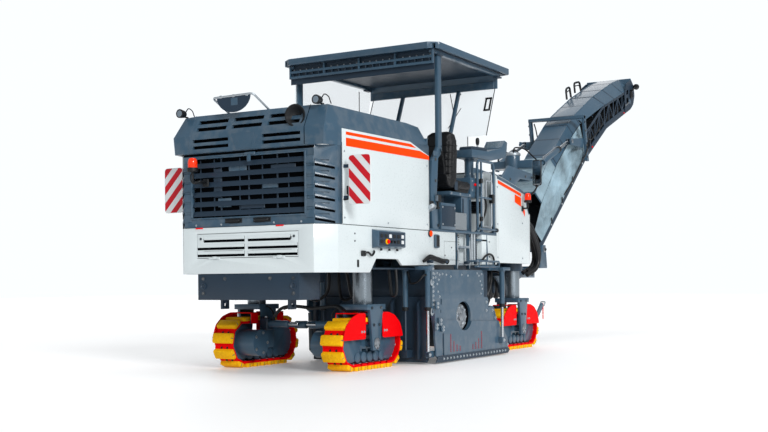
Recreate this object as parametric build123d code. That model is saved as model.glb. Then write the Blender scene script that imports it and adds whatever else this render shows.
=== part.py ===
from build123d import *
import math
import os

# Compact cold planer on four steered tracks, millimetres.
# +X is forward, +Y is left, +Z is up; the origin lies on the ground under the middle of its box.

# Undercarriage
wheelbase = 4200
rear_x = -4870
front_x = rear_x + wheelbase
track_y = 739
track_length = 1370
track_height = 584
shoe_width = 270
shoe_count = 24
band_inner = 212
band_outer = 252
pad_half = 46
pad_slope = 7
pad_drop = track_height / 2 - math.sqrt((track_height / 2) ** 2 - pad_half ** 2)
column_radius = 110
column_top = 1560
guide_bore = 114
guide_radius = 150
guide_top = 1940
yoke_top = 730
yoke_plate = 60
yoke_gap = 145
yoke_arm = 36

# Main frame
frame_low = 1120
rail_low = 1120
deck_top = 1140
rail_front = -300
rail_high = 1300
rail_inner = 380
rail_outer = 500
beam_low = 797
beam_high = 1082
beam_half = 673
deck_front = -4035
deck_half = 1004
tail_x = -6050

# Tie-down eyes
lug_x = -5850
lug_y = 450
lug_z = 745
lug_bore = 25
front_eye = (60, 930)
front_eye_bore = 30

# Body shell
half_width = 1040
panel = 30
corner_half = 864
corner_back = 200
skirt_low = 1084
skirt_front = -1860
seam_z = 1588
hood_gap = 6
hood_front = -3800
side_rear = -5765
cap_low_z = 2412
cap_edge_z = 2600
roof_z = 2840
roof_front_z = 2866
roof_half = 953
platform_z = 1620
platform_rear = -3795
hood_hinge = (-3812, 2790)
hatch_hinge = (-6056, 1250)
hatch_half = 668
hinge_radius = 9
beacon_at = (-6150, 645)

# Milling drum
drum_x = -3050
drum_z = 550
drum_tip = 490
drum_right = -1040
drum_left = 460
chamber_right = -1125
chamber_left = 555
chamber_rear = -3930
chamber_front = -2350

# Canopy
canopy_rear = -3770
canopy_front = -1550
canopy_half = 1132
canopy_top = 3870

# Side plate and scraper rams: x, y, lower eye z
plate_rams = [(-4075, -1150, 120), (-2100, -1220, 200)]
scraper_rams = [(-4095, -860, 130), (-4095, 300, 130)]
ram_barrel_low = 640
ram_barrel_high = 1120
ram_barrel_radius = 32
ram_bore = 21
ram_rod_radius = 18
ram_rod_high = 760

# Conveyors
slew_x = 1100
lift_x = 1160
lift_z = 1480
pivot_radius = 35
boom_half = 450
ram_y = 400
ram_base = (1300, 2860)
ram_eye = (2550, 3360)

corners = [
    # name, x, side: +1 is left
    ("rear_left", rear_x, 1),
    ("rear_right", rear_x, -1),
    ("front_left", front_x, 1),
    ("front_right", front_x, -1),
]

nodes = {}


def prism(points, axis, low, high):
    """Outline in the plane square to an axis, extruded from low to high along it."""
    if axis == "X":
        corners_3d = [(low, a, b) for a, b in points]
        way = Vector(1, 0, 0)
    elif axis == "Y":
        corners_3d = [(a, low, b) for a, b in points]
        way = Vector(0, 1, 0)
    else:
        corners_3d = [(a, b, low) for a, b in points]
        way = Vector(0, 0, 1)
    face = Face(Wire.make_polygon([Vector(*c) for c in corners_3d], close=True))
    return Solid.extrude(face, way * (high - low))


def block(x, y, z):
    """Box between pairs of limits."""
    size = (x[1] - x[0], y[1] - y[0], z[1] - z[0])
    centre = ((x[0] + x[1]) / 2, (y[0] + y[1]) / 2, (z[0] + z[1]) / 2)
    return Pos(*centre) * Box(*size)


def bar(start, end, radius):
    """Round bar between two points."""
    a = Vector(*start)
    b = Vector(*end)
    return Solid.make_cylinder(radius, (b - a).length, Plane(origin=a, z_dir=(b - a).normalized()))


def pipe(points, radius, bend):
    """Bent tube with equal bend radii."""
    path = FilletPolyline(*[Vector(*p) for p in points], radius=bend)
    section = Plane(origin=path @ 0, z_dir=path % 0) * Circle(radius)
    return sweep(section, path=path)


def mirrored(shape):
    """Same shape on the other side of the machine."""
    return mirror(shape, about=Plane.XZ)


def both(shape):
    return [shape, mirrored(shape)]


def fuse(shapes):
    whole = shapes[0]
    for shape in shapes[1:]:
        whole = whole + shape
    return whole


def keep(name, shapes):
    """Store a node: one shape or a list of separate ones."""
    if not isinstance(shapes, list):
        shapes = [shapes]
    solids = []
    for shape in shapes:
        solids += list(shape.solids())
    nodes[name] = solids[0] if len(solids) == 1 else Compound(solids)


def loop_point(s, offset):
    """Point of the track line at run length s, moved out by offset from the wheel centres."""
    radius = (band_inner + track_height / 2) / 2
    straight = track_length - track_height
    arc = math.pi * radius
    s = s % (2 * straight + 2 * arc)
    mid = track_height / 2
    if s < straight:
        return -straight / 2 + s, mid - offset
    s -= straight
    if s < arc:
        angle = -math.pi / 2 + s / radius
        return straight / 2 + offset * math.cos(angle), mid + offset * math.sin(angle)
    s -= arc
    if s < straight:
        return straight / 2 - s, mid + offset
    s -= straight
    angle = math.pi / 2 + s / radius
    return -straight / 2 + offset * math.cos(angle), mid + offset * math.sin(angle)


def track_loop(x, y):
    """Chain band with its shoes, as one profile."""
    radius = (band_inner + track_height / 2) / 2
    straight = track_length - track_height
    pitch = (2 * straight + 2 * math.pi * radius) / shoe_count
    outline = []
    for i in range(shoe_count):
        s = (i + 0.5) * pitch
        straight_pad = s % (straight + math.pi * radius) < straight
        reach = track_height / 2 if straight_pad else math.hypot(track_height / 2, pad_half) - 2 * pad_drop
        mid = loop_point(s, reach)
        ahead = loop_point(s + 1, track_height / 2)
        behind = loop_point(s - 1, track_height / 2)
        length = math.hypot(ahead[0] - behind[0], ahead[1] - behind[1])
        tangent = ((ahead[0] - behind[0]) / length, (ahead[1] - behind[1]) / length)
        normal = (tangent[1], -tangent[0])
        drop = track_height / 2 - band_outer
        for along, inward in ((-pad_half - pad_slope, drop), (-pad_half, 0), (pad_half, 0),
                              (pad_half + pad_slope, drop)):
            outline.append((x + mid[0] + tangent[0] * along - normal[0] * inward,
                            mid[1] + tangent[1] * along - normal[1] * inward))
    band = prism(outline, "Y", y - shoe_width / 2, y + shoe_width / 2)
    slot = SlotOverall(straight + 2 * band_inner, 2 * band_inner)
    hole = extrude(Plane.XZ * slot, amount=shoe_width, both=True)
    return band - Pos(x, y, track_height / 2) * hole


def track_frame(x, y, side):
    """Yoke, roller frame, drive and idler of one track."""
    mid = track_height / 2
    axle = (track_length - track_height) / 2
    top = block((x - 200, x + 200), (y - yoke_gap - yoke_arm, y + yoke_gap + yoke_arm),
                (yoke_top - yoke_plate, yoke_top))
    pieces = [top]
    for way in (-1, 1):
        edge = y + way * yoke_gap
        outer = edge + way * yoke_arm
        arm = [(x - 150, yoke_top - 1), (x + 150, yoke_top - 1), (x + 105, 430), (x + 80, 215),
               (x - 80, 215), (x - 105, 430)]
        pieces.append(prism(arm, "Y", min(edge, outer), max(edge, outer)))
    pieces.append(bar((x, y - yoke_gap - yoke_arm, mid), (x, y + yoke_gap + yoke_arm, mid), 45))
    beam = [(x - axle - 60, mid - 60), (x + axle, mid - 60), (x + axle + 60, mid + 20), (x + axle, mid + 90),
            (x - axle, mid + 90)]
    pieces.append(prism(beam, "Y", y - 55, y + 55))
    pieces.append(bar((x + axle, y - 80, mid), (x + axle, y + 80, mid), band_inner - 12))
    pieces.append(bar((x - axle, y - 80, mid), (x - axle, y + 80, mid), band_inner - 12))
    # drive motor on the inner side, longer at the rear where nothing stands between the tracks
    inner = y - side * 80
    reach = 150 if x > rear_x else 270
    pieces.append(bar((x - axle, inner, mid), (x - axle, inner - side * reach, mid), 150))
    if x == rear_x:
        # half of the tie rod between the two rear yokes
        pieces.append(block((x - 45, x + 45), (min(y - side * 180, side * 420), max(y - side * 180, side * 420)),
                            (440, 540)))
        pieces.append(bar((x, side * 425, 490), (x, side * 22, 490), 32))
        pieces.append(bar((x, side * 170, 490), (x, side * 22, 490), 45))
    for i in range(5):
        roller = x - axle + 130 + i * (2 * axle - 260) / 4
        pieces.append(bar((roller, y - 90, 80 + 62), (roller, y + 90, 80 + 62), 58))
        pieces.append(block((roller - 20, roller + 20), (y - 50, y + 50), (142, mid)))
    return fuse(pieces)


def track_guard(x, y, side):
    """Red guard over each upper end: outer plate, strap over the shoes and a small inner plate."""
    outer = y + side * (shoe_width / 2 + 8)
    inner = y - side * (shoe_width / 2 + 16)
    pieces = []
    for way in (-1, 1):
        fan = [(x + way * 190, 350), (x + way * 190, 628), (x + way * 330, 628), (x + way * 470, 590),
               (x + way * 590, 500), (x + way * 660, 350)]
        pieces.append(prism(fan, "Y", min(outer, outer + side * 8), max(outer, outer + side * 8)))
        strap = block((min(x + way * 190, x + way * 330), max(x + way * 190, x + way * 330)),
                      (min(inner, outer + side * 8), max(inner, outer + side * 8)), (628, 636))
        hang = block((min(x + way * 200, x + way * 320), max(x + way * 200, x + way * 320)),
                     (min(inner, inner + side * 8), max(inner, inner + side * 8)), (510, 628))
        pieces.append(strap)
        pieces.append(hang)
    return [fuse(pieces[:3]), fuse(pieces[3:])]


def make_undercarriage():
    for name, x, side in corners:
        y = side * track_y
        keep("column_" + name, bar((x, y, yoke_top), (x, y, column_top), column_radius))
        keep("track_frame_" + name, [track_frame(x, y, side)] + track_guard(x, y, side))
        keep("track_loop_" + name, track_loop(x, y))


def make_frame():
    """Rails, deck, rear beam with its lugs, both column carriers and the front bracket."""
    rails = both(block((-6000, rail_front - 30), (rail_inner, rail_outer), (rail_low, rail_high)))
    deck = [(-5940, -895), (-5825, -deck_half), (deck_front, -deck_half), (deck_front, deck_half),
            (-5825, deck_half), (-5940, 895)]
    deck = prism(deck, "Z", frame_low, deck_top) - rails[0] - rails[1]
    # end plates in front, below and beside the primary conveyor
    ends = both(block((rail_front - 30, rail_front), (272, rail_outer), (1060, rail_high)))
    ends.append(block((rail_front - 30, rail_front), (-272, 272), (1060, 1115)))

    beam = [(tail_x + 10, beam_low), (tail_x + 400, beam_low), (tail_x + 400, frame_low), (tail_x + 60, frame_low),
            (tail_x + 60, beam_high), (tail_x + 10, beam_high)]
    beam = prism(beam, "Y", -beam_half, beam_half)
    for y in (-lug_y, lug_y):
        lug = block((lug_x - 60, lug_x + 60), (y - 15, y + 15), (lug_z - 50, beam_low + 1))
        beam += lug - bar((lug_x, y - 20, lug_z), (lug_x, y + 20, lug_z), lug_bore)
    keep("rear_beam", beam)

    rear = [block((rear_x - 130, rear_x + 130), (-620, 620), (rail_low, rail_high))]
    front = [block((front_x - 110, front_x + 110), (-620, 620), (1720, 1900))]
    for side in (-1, 1):
        y = side * track_y
        rear.append(bar((rear_x, y, frame_low), (rear_x, y, guide_top), guide_radius))
        front.append(bar((front_x, y, frame_low), (front_x, y, guide_top), guide_radius))
        web = side * 560
        front.append(block((front_x - 240, front_x + 150), (web - 60, web + 60), (rail_low, 1900)))
        tie = side * (rail_outer + 60)
        front.append(block((front_x - 240, front_x + 150), (min(tie, side * rail_inner), max(tie, side * rail_inner)),
                           (rail_low, rail_high)))
    rear = fuse(rear)
    front = fuse(front)
    for side in (-1, 1):
        rear -= bar((rear_x, side * track_y, 1000), (rear_x, side * track_y, 2400), guide_bore)
        front -= bar((front_x, side * track_y, 1000), (front_x, side * track_y, 2400), guide_bore)
    deck -= rear
    for side in (-1, 1):
        deck -= bar((rear_x, side * track_y, 1000), (rear_x, side * track_y, 2400), guide_bore)
    keep("main_frame", [rail - rear - front for rail in rails] + [deck] + ends)
    keep("rear_carrier", rear)
    keep("front_carrier", front)

    # front bracket: plates that carry the slewing pivot low down and at the mast head
    low_arm = [(rail_front, 1060), (-20, 860), (120, 860), (700, 1030), (1250, 1030), (1250, 1130), (0, 1180),
               (rail_front, 1180)]
    upright = [(rail_front, 1180), (0, 1180), (40, 2260), (rail_front, 2260)]
    high_arm = [(rail_front, 2260), (40, 2260), (700, 2590), (1250, 2590), (1250, 2700), (250, 2760),
                (rail_front, 2330)]
    eye = bar((front_eye[0], -400, front_eye[1]), (front_eye[0], 400, front_eye[1]), front_eye_bore)
    pieces = []
    for low, high in ((275, 305), (-305, -275)):
        pieces.append(prism(low_arm, "Y", low, high) - eye)
        pieces.append(prism(upright, "Y", low, high))
        pieces.append(prism(high_arm, "Y", low, high))
    pieces.append(block((950, 1250), (-275, 275), (1030, 1130)))
    pieces.append(block((950, 1250), (-275, 275), (2590, 2700)))
    pieces.append(block((rail_front, -170), (-275, 275), (2230, 2260)))
    keep("front_bracket", pieces)


def make_chamber():
    """Plate box over the drum, open below, with the conveyor mouth in its front wall."""
    ceiling = block((chamber_rear, chamber_front), (chamber_right, chamber_left), (1090, frame_low))
    rear = block((chamber_rear, chamber_rear + 30), (chamber_right, chamber_left), (700, 1090))
    front = block((chamber_front - 30, chamber_front), (chamber_right, chamber_left), (260, 1090))
    mouth = block((chamber_front - 60, chamber_front + 30), (-270, 270), (300, 900))
    side = [(chamber_rear, 700), (chamber_rear, 1100), (chamber_front, 1100), (chamber_front, 260),
            (drum_x + 520, 260), (drum_x + 420, 620), (drum_x + 250, 800), (drum_x - 250, 800),
            (drum_x - 420, 620), (drum_x - 600, 620)]
    right = prism(side, "Y", chamber_right, chamber_right + 30)
    left = prism(side, "Y", chamber_left - 30, chamber_left)
    keep("drum_housing", fuse([ceiling, rear, front - mouth, right, left]))


def make_drum():
    """Tube with pick holders on a helix from both ends to the middle."""
    body = bar((drum_x, drum_right + 20, drum_z), (drum_x, drum_left - 20, drum_z), 395)
    pieces = [body]
    rows = 26
    width = drum_left - drum_right
    holder = [(-45, 385), (-30, 452), (-8, 486), (8, 486), (30, 440), (45, 385)]
    for i in range(rows):
        y = drum_right + 20 + (width - 90) * i / (rows - 1)
        turn = 47 * i if i < rows / 2 else 47 * (rows - 1 - i)
        for start in (0, 180):
            tooth = prism(holder, "Y", -22, 22)
            pieces.append(Pos(drum_x, y + 25, drum_z) * Rot(0, turn + start, 0) * tooth)
    keep("milling_drum", fuse(pieces))


def ram_rod(x, y, eye_z):
    """Vertical rod with its lower eye."""
    return bar((x, y, eye_z), (x, y, ram_rod_high), ram_rod_radius) + bar((x, y - 22, eye_z), (x, y + 22, eye_z), 36)


def make_side_plates():
    """Floating side plates with the right one's rods, and the scraper with its rods."""
    outline = [(-4020, 1180), (-2250, 1180), (-1780, 560), (-1740, 130), (-1850, 12), (-3780, 12), (-3940, 130),
               (-3960, 600), (-4020, 640)]
    shoe = [(-3960, 600), (-1782, 560), (-1740, 130), (-1850, 12), (-3780, 12), (-3940, 130)]
    right_face = chamber_right - 10
    plate = prism(outline, "Y", right_face - 30, right_face)
    step = prism(shoe, "Y", right_face - 50, right_face - 29)
    hub = bar((drum_x, right_face - 60, drum_z + 60), (drum_x, right_face - 20, drum_z + 60), 150)
    rear_ram, front_ram = plate_rams
    rear_lug = block((rear_ram[0] - 30, -3900), (right_face - 30, right_face), (80, 160))
    front_lug = block((front_ram[0] - 40, front_ram[0] + 40), (-1250, right_face - 45), (160, 240))
    pieces = [plate, step, hub, rear_lug, front_lug]
    pieces += [ram_rod(*ram) for ram in plate_rams]
    keep("side_plate_right", fuse(pieces))
    left_face = chamber_left + 10
    plate = prism(outline, "Y", left_face, left_face + 30)
    step = prism(shoe, "Y", left_face + 29, left_face + 50)
    keep("side_plate_left", fuse([plate, step]))

    blade = block((-3990, -3960), (chamber_right + 40, chamber_left - 40), (20, 800))
    edge = prism([(-3990, 20), (-3960, 20), (-3925, 60), (-3925, 130), (-3960, 130)], "Y",
                 chamber_right + 40, chamber_left - 40)
    pieces = [blade, edge]
    for y in (-1000, -640, -280, 80, 440):
        pieces.append(prism([(-4050, 60), (-3989, 60), (-3989, 780), (-4050, 720)], "Y", y - 12, y + 12))
    for x, y, eye_z in scraper_rams:
        pieces.append(ram_rod(x, y, eye_z))
        pieces.append(block((x - 40, -3989), (y - 40, y + 40), (eye_z - 50, eye_z + 40)))
    keep("scraper", fuse(pieces))

    # barrels hang from brackets on the frame; the front one's bracket reaches round the plate
    barrels = []
    for x, y, _ in plate_rams + scraper_rams:
        tube = bar((x, y, ram_barrel_low), (x, y, ram_barrel_high), ram_barrel_radius)
        barrels.append(tube - bar((x, y, ram_barrel_low - 1), (x, y, ram_barrel_high - 30), ram_bore))
    rear_arm = block((rear_ram[0] - 40, rear_ram[0] + 40), (-1185, -deck_half), (ram_barrel_high - 1, 1160))
    front_arm = block((front_ram[0] - 40, -1900), (-1255, -1190), (ram_barrel_high - 1, 1160))
    front_arm += block((-1960, -1900), (-1195, -1120), (ram_barrel_high - 1, 1160))
    front_arm += block((-2300, -1900), (-1125, -deck_half), (ram_barrel_high - 1, 1160))
    front_arm += block((-2300, -1900), (-1035, -deck_half), (1159, 1194))
    keep("ram_mounts", [fuse([rear_arm, barrels[0]]), fuse([front_arm, barrels[1]]), barrels[2], barrels[3]])


def make_lower_body():
    """White skirt: rear wall with the hatch opening, and both side walls."""
    corner_x = tail_x + corner_back
    inner = half_width - panel
    plan = [(tail_x, -corner_half), (tail_x, corner_half), (corner_x, half_width), (skirt_front, half_width),
            (skirt_front, inner), (corner_x + 12, inner), (tail_x + panel, corner_half - 14),
            (tail_x + panel, -corner_half + 14), (corner_x + 12, -inner), (skirt_front, -inner),
            (skirt_front, -half_width), (corner_x, -half_width)]
    wall = prism(plan, "Z", skirt_low, seam_z)
    arch = [(-5210, 1000), (-5210, skirt_low), (-5070, 1238), (-4580, 1238), (-4480, 1168), (skirt_front, 1203),
            (skirt_front + 10, 1000)]
    wall -= prism(arch, "Y", -1200, 1200)
    wall -= block((tail_x - 50, tail_x + 60), (-hatch_half - 6, hatch_half + 6), (1252, 1524))
    # boarding recess on the right, behind the ladder
    wall -= block((-3110, -2330), (-half_width - 10, -inner + 10), (1100, seam_z))
    recess = block((-3140, -2300), (-inner, -900), (1190, seam_z))
    recess -= block((-3110, -2330), (-1100, -930), (1100, seam_z + 10))
    hinge_x, hinge_z = hatch_hinge
    for side in (-1, 1):
        wall -= block((tail_x - 5, tail_x + 8), (min(side * 398, side * 464), max(side * 398, side * 464)), (1236, 1256))
        for start in (356, 466):
            wall += bar((hinge_x, side * start, hinge_z), (hinge_x, side * (start + 40), hinge_z), hinge_radius)
    keep("lower_body", fuse([wall, recess]))

    frame = block((tail_x, tail_x + 26), (-hatch_half, hatch_half), (1258, 1518))
    for row in range(3):
        for column in (-1, 1):
            z = 1298 + row * 68
            slot = prism([(tail_x - 5, z), (tail_x + 40, z + 18), (tail_x + 40, z + 52), (tail_x - 5, z + 34)],
                         "Y", column * 318 - 270, column * 318 + 270)
            frame -= slot
    for side in (-1, 1):
        frame += bar((hinge_x, side * 402, hinge_z), (hinge_x, side * 460, hinge_z), hinge_radius)
        frame += block((tail_x - 7, tail_x + 6), (min(side * 404, side * 458), max(side * 404, side * 458)),
                       (1246, 1272))
    keep("rear_hatch", frame)


def section(x, points):
    return Wire.make_polygon([Vector(x, y, z) for y, z in points], close=True)


def level(z, points):
    """Closed plan outline from its right-hand half, mirrored."""
    right = [(x, -y) for x, y in points]
    left = [(x, y) for x, y in reversed(points)]
    return Wire.make_polygon([Vector(x, y, z) for x, y in right + left], close=True)


def make_hood():
    """Rear cap and top of the hood, its corner posts, grille and white sides."""
    rows = [
        # z: rear x at the middle panel, corner x, corner half width, side half width, front half width
        (cap_low_z, -6058, -6040, 985, half_width, half_width - 4),
        (cap_edge_z, -6062, -6046, 1000, half_width, half_width - 4),
        (roof_z, -5941, -5890, 953, roof_half, roof_half - 60),
    ]
    outer = []
    inner = []
    for z, rear, corner, corner_y, side_y, front_y in rows:
        outer.append(level(z, [(rear, 744), (corner, corner_y), (side_rear - 60, side_y), (-4200, side_y),
                               (hood_front, front_y)]))
        inner.append(level(z - 26, [(rear + 30, 730), (corner + 34, corner_y - 32), (side_rear - 60, side_y - 34),
                                    (-4200, side_y - 34), (hood_front + 20, front_y - 34)]))
    shell = Solid.make_loft(outer[:2], ruled=True) + Solid.make_loft(outer[1:], ruled=True)
    shell -= Solid.make_loft(inner[:2], ruled=True) + Solid.make_loft(inner[1:], ruled=True)
    # the cap's sides end above the white side panels, which drop towards the front
    trim = [(side_rear, cap_low_z - 40), (side_rear, cap_edge_z), (-4262, cap_edge_z + 10), (hood_front + 30, 2482),
            (hood_front + 30, cap_low_z - 40)]
    shell -= prism(trim, "Y", -1200, 1200)
    for z in (2652, 2734):
        lean = (z - cap_edge_z) * 121 / 240
        for y, half in ((-480, 205), (0, 200), (480, 205)):
            shell -= block((-6100 + lean, -5955 + lean), (y - half, y + half), (z, z + 42))
    for z in (2455, 2525):
        for y in (-470, 470):
            shell -= block((-6100, -6000), (y - 245, y + 245), (z, z + 36))

    # dark rear frame: corner posts with louvre slots, and sills around the grille
    edge_x = tail_x + corner_back
    post_low = seam_z + hood_gap
    plan = [(-6030, 750), (-6030, corner_half), (edge_x, half_width - 2), (side_rear - 4, half_width - 2),
            (side_rear - 4, half_width - 30), (edge_x + 12, half_width - 30), (-5996, corner_half - 14), (-5996, 750)]
    post = prism(plan, "Z", post_low, cap_low_z)
    facet = math.degrees(math.atan2(half_width - 2 - corner_half, edge_x + 6030))
    for i in range(6):
        z = 1690 + i * 112
        post -= block((-6040, -6020), (760, corner_half), (z, z + 14))
        slot = Pos(-6030, corner_half, z) * Rot(0, 0, facet) * Pos(85, 0, 0) * Box(150, 24, 16)
        post -= slot
    sill = block((-6030, -5990), (-750, 750), (post_low, 1700))
    head = block((-6030, -5990), (-750, 750), (2350, cap_low_z))
    for y in (-170, 170):
        sill -= block((-6040, -6012), (y - 70, y + 70), (1625, 1665))
    hinge_x, hinge_z = hood_hinge
    knuckles = []
    for side in (-1, 1):
        knuckles.append(bar((hinge_x, side * 650, hinge_z), (hinge_x, side * 710, hinge_z), hinge_radius))
        knuckles.append(block((hinge_x - 40, hinge_x), (min(side * 652, side * 708), max(side * 652, side * 708)),
                              (hinge_z - 8, 2845)))
    keep("hood_shell", fuse([shell, post, mirrored(post), sill, head] + knuckles))
    slats = []
    for i in range(6):
        z = 1716 + i * 106
        slats.append(prism([(-6024, z), (-5996, z + 30), (-5996, z + 84), (-6004, z + 84), (-6004, z + 36),
                            (-6024, z + 10)], "Y", -750, 750))
    ties = [block((-5996, -5986), (y - 10, y + 10), (1700, 2350)) for y in (-375, 0, 375)]
    keep("rear_grille", fuse(slats + ties))

    side = [(side_rear, post_low), (hood_front, post_low), (hood_front, 2488), (-4262, cap_edge_z + 9),
            (side_rear, cap_edge_z - 1)]
    keep("hood_sides", both(prism(side, "Y", half_width - panel, half_width)))

    boards = block((-5760, -5740), (1112, 1386), (1790, 2312))
    arm = block((-5740, -5710), (half_width, 1180), (1830, 1870))
    keep("warning_boards", both(fuse([boards, arm])))

    # half disc carried by a bent tube behind the hood's top edge
    tube = pipe([(-5840, -175, roof_z + 10), (-6048, -100, 3010), (-6048, 440, 3000), (-5840, 360, roof_z + 10)],
                12, 30)
    turns = [math.pi + math.pi * i / 16 for i in range(17)]
    half_disc = prism([(156 + 229 * math.cos(a), 3004 + 180 * math.sin(a)) for a in turns], "X", -6052, -6044)
    keep("signal_hoop", fuse([tube, half_disc]))

    lamps = []
    for y in (-880, 940):
        head = Pos(-5965, y, 2880) * Rot(0, -90, 0) * Cone(48, 60, 90)
        foot = block((-5935, -5870), (y - 15, y + 15), (2843, 2858)) + block((-5935, -5920), (y - 15, y + 15),
                                                                             (2843, 2880))
        lamps.append(fuse([head, foot]))
    keep("hood_lamps", lamps)

    # beacon on its arm behind the grille
    x, y = beacon_at
    beacon = [bar((x, y, 2200), (x, y, 2245), 62), bar((x, y, 2240), (x, y, 2355), 52),
              bar((x, y, 2075), (x, y, 2205), 14), bar((x, y, 2090), (x, y - 90, 2090), 14),
              bar((x, y - 90, 2090), (-6024, y - 90, 2090), 14)]
    keep("beacon", fuse(beacon))


def make_power():
    keep("engine_block", block((-5450, -4150), (-360, 360), (rail_high, 2350)))
    keep("cooler_block", block((-5930, -5640), (-740, 740), (rail_high, 2330)))


def make_platform():
    """Floor, rear wall with the hood hinges, front wall, seat and console."""
    floor = block((platform_rear, skirt_front), (-half_width, half_width), (platform_z - 30, platform_z))
    wall = block((platform_rear, platform_rear + 30), (-deck_half, deck_half), (frame_low, 2700))
    for side in (-1, 1):
        low = min(side * rail_inner, side * rail_outer)
        wall -= block((platform_rear - 5, platform_rear + 40), (low, low + rail_outer - rail_inner),
                      (rail_low, rail_high))
    # the left side plate rises through this slot
    wall -= block((platform_rear - 5, platform_rear + 40), (chamber_left, chamber_left + 70), (frame_low, 1500))
    front = block((skirt_front - 30, skirt_front), (-980, deck_half), (platform_z, 2400))
    hinge_x, hinge_z = hood_hinge
    hinges = []
    for side in (-1, 1):
        hinges.append(bar((hinge_x, side * 600, hinge_z), (hinge_x, side * 646, hinge_z), hinge_radius))
        hinges.append(block((hinge_x - 6, platform_rear + 30), (min(side * 602, side * 644), max(side * 602, side * 644)),
                            (2690, hinge_z + 6)))
    keep("platform", fuse([floor, wall, front] + hinges))

    pillar = block((-2750, -2450), (-950, -700), (platform_z, 2070))
    plate = block((-3130, -2140), (-980, -600), (2070, 2115))

    cushion = block((-3000, -2560), (-1035, -600), (2115, 2260))
    back = prism([(-3200, 2150), (-3010, 2150), (-3000, 2260), (-2960, 2700), (-3020, 2880), (-3110, 2880),
                  (-3180, 2600)], "Y", -1035, -600)
    keep("seat", fuse([cushion, back]))

    foot = block((-2540, -2150), (-980, -720), (2115, 2330))
    stem = bar((-2300, -850, 2330), (-2300, -850, 2600), 60)
    desk = prism([(-2500, 2600), (-1900, 2600), (-1400, 2690), (-1360, 2900), (-1450, 2920), (-1560, 2800),
                  (-2000, 2720), (-2500, 2700)], "Y", -990, -710)
    keep("console", fuse([pillar, plate, foot, stem, desk]))


def make_rails():
    """Handrails, gate and boarding ladder on the right, and a plain rail on the left."""
    y = -1010
    right = [pipe([(-2390, y, platform_z - 1), (-2390, y, 2566), (-1880, y, 2566), (-1880, y, platform_z - 1)], 18, 70)]
    right.append(bar((-2390, y, 2080), (-1880, y, 2080), 14))
    right.append(bar((-2271, y, platform_z - 1), (-2271, y, 2566), 14))
    left = pipe([(-3430, 1000, platform_z - 1), (-3430, 1000, 2640), (-1940, 1000, 2540),
                 (-1940, 1000, platform_z - 1)], 18, 70)
    left += bar((-3430, 1000, 2100), (-1940, 1000, 2100), 14)
    rails = [fuse(right) & block((-2500, -1800), (-1100, -900), (platform_z, 2700)),
             left & block((-3700, -1800), (900, 1100), (platform_z, 2800))]
    ladder = []
    for x in (-3034, -2680):
        ladder.append(block((x - 12, x + 12), (-1030, -985), (1130, platform_z - 30)))
    for z in (1180, 1400):
        ladder.append(block((-3034, -2680), (-1030, -950), (z, z + 24)))
    step = block((-3530, -3140), (-1060, -1010), (platform_z, 1944))
    keep("boarding_rails", rails + [fuse(ladder), step])


def make_control_box():
    box = prism([(half_width, 1350), (half_width + 75, 1370), (half_width + 75, 1540), (half_width, 1560)], "X",
                -5165, -4533)
    keep("control_box", mirrored(box))


def tetra(a, b, c, d):
    """Solid between four points."""
    faces = [Face(Wire.make_polygon(points, close=True)) for points in ((a, b, c), (a, b, d), (b, c, d), (a, c, d))]
    return Solid(Shell(faces))


def make_front_body():
    """White housing over the front columns, tapered towards the front, open below."""
    low_z = 1225
    rows = [
        # x, half width, top z, trim z
        (-1855, half_width, 2455),
        (-1400, 1012, 2400),
        (-790, 985, 2310),
        (-560, 962, 2020),
        (-485, 952, 2000),
    ]
    outer = []
    inner = []
    for x, half, top_z in rows:
        outer.append(section(x, [(-half, low_z), (half, low_z), (half, top_z - 60), (half - 60, top_z),
                                 (-half + 60, top_z), (-half, top_z - 60)]))
        half -= panel
        top_z -= panel
        inner.append(section(x, [(-half, low_z - 10), (half, low_z - 10), (half, top_z - 60), (half - 60, top_z),
                                 (-half + 60, top_z), (-half, top_z - 60)]))
    body = Solid.make_loft(outer, ruled=True)
    cavity = Solid.make_loft(inner, ruled=True)
    cavity = cavity & block((-1900, -515), (-1200, 1200), (1000, 2500))
    body -= cavity
    body -= block((-600, -400), (-rail_outer, rail_outer), (1200, rail_high))
    body -= block((-600, -400), (-275, 275), (1200, 1760))
    # a shallow facet on each side, deepest at its lower rear corner
    for side in (-1, 1):
        apex = Vector(-1790, side * 1034, 2126)
        rear = Vector(-1757, side * 1033, 1200)
        fore = Vector(-1150, side * 1002, 1200)
        deep = Vector(-1757, side * 1008, 1200)
        out = Vector(0, side * 30, 0)
        hull = [apex, rear + out, fore + out, deep]
        body -= tetra(*hull)
    keep("front_body", body)


def make_primary():
    """Enclosed conveyor from the drum housing up to the slewing axis."""
    outline = [(chamber_front, 300), (-1900, 380), (1080, 1830), (1080, 2330), (900, 2380), (-2100, 930),
               (chamber_front, 900)]
    keep("primary_conveyor", prism(outline, "Y", -270, 270))


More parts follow.
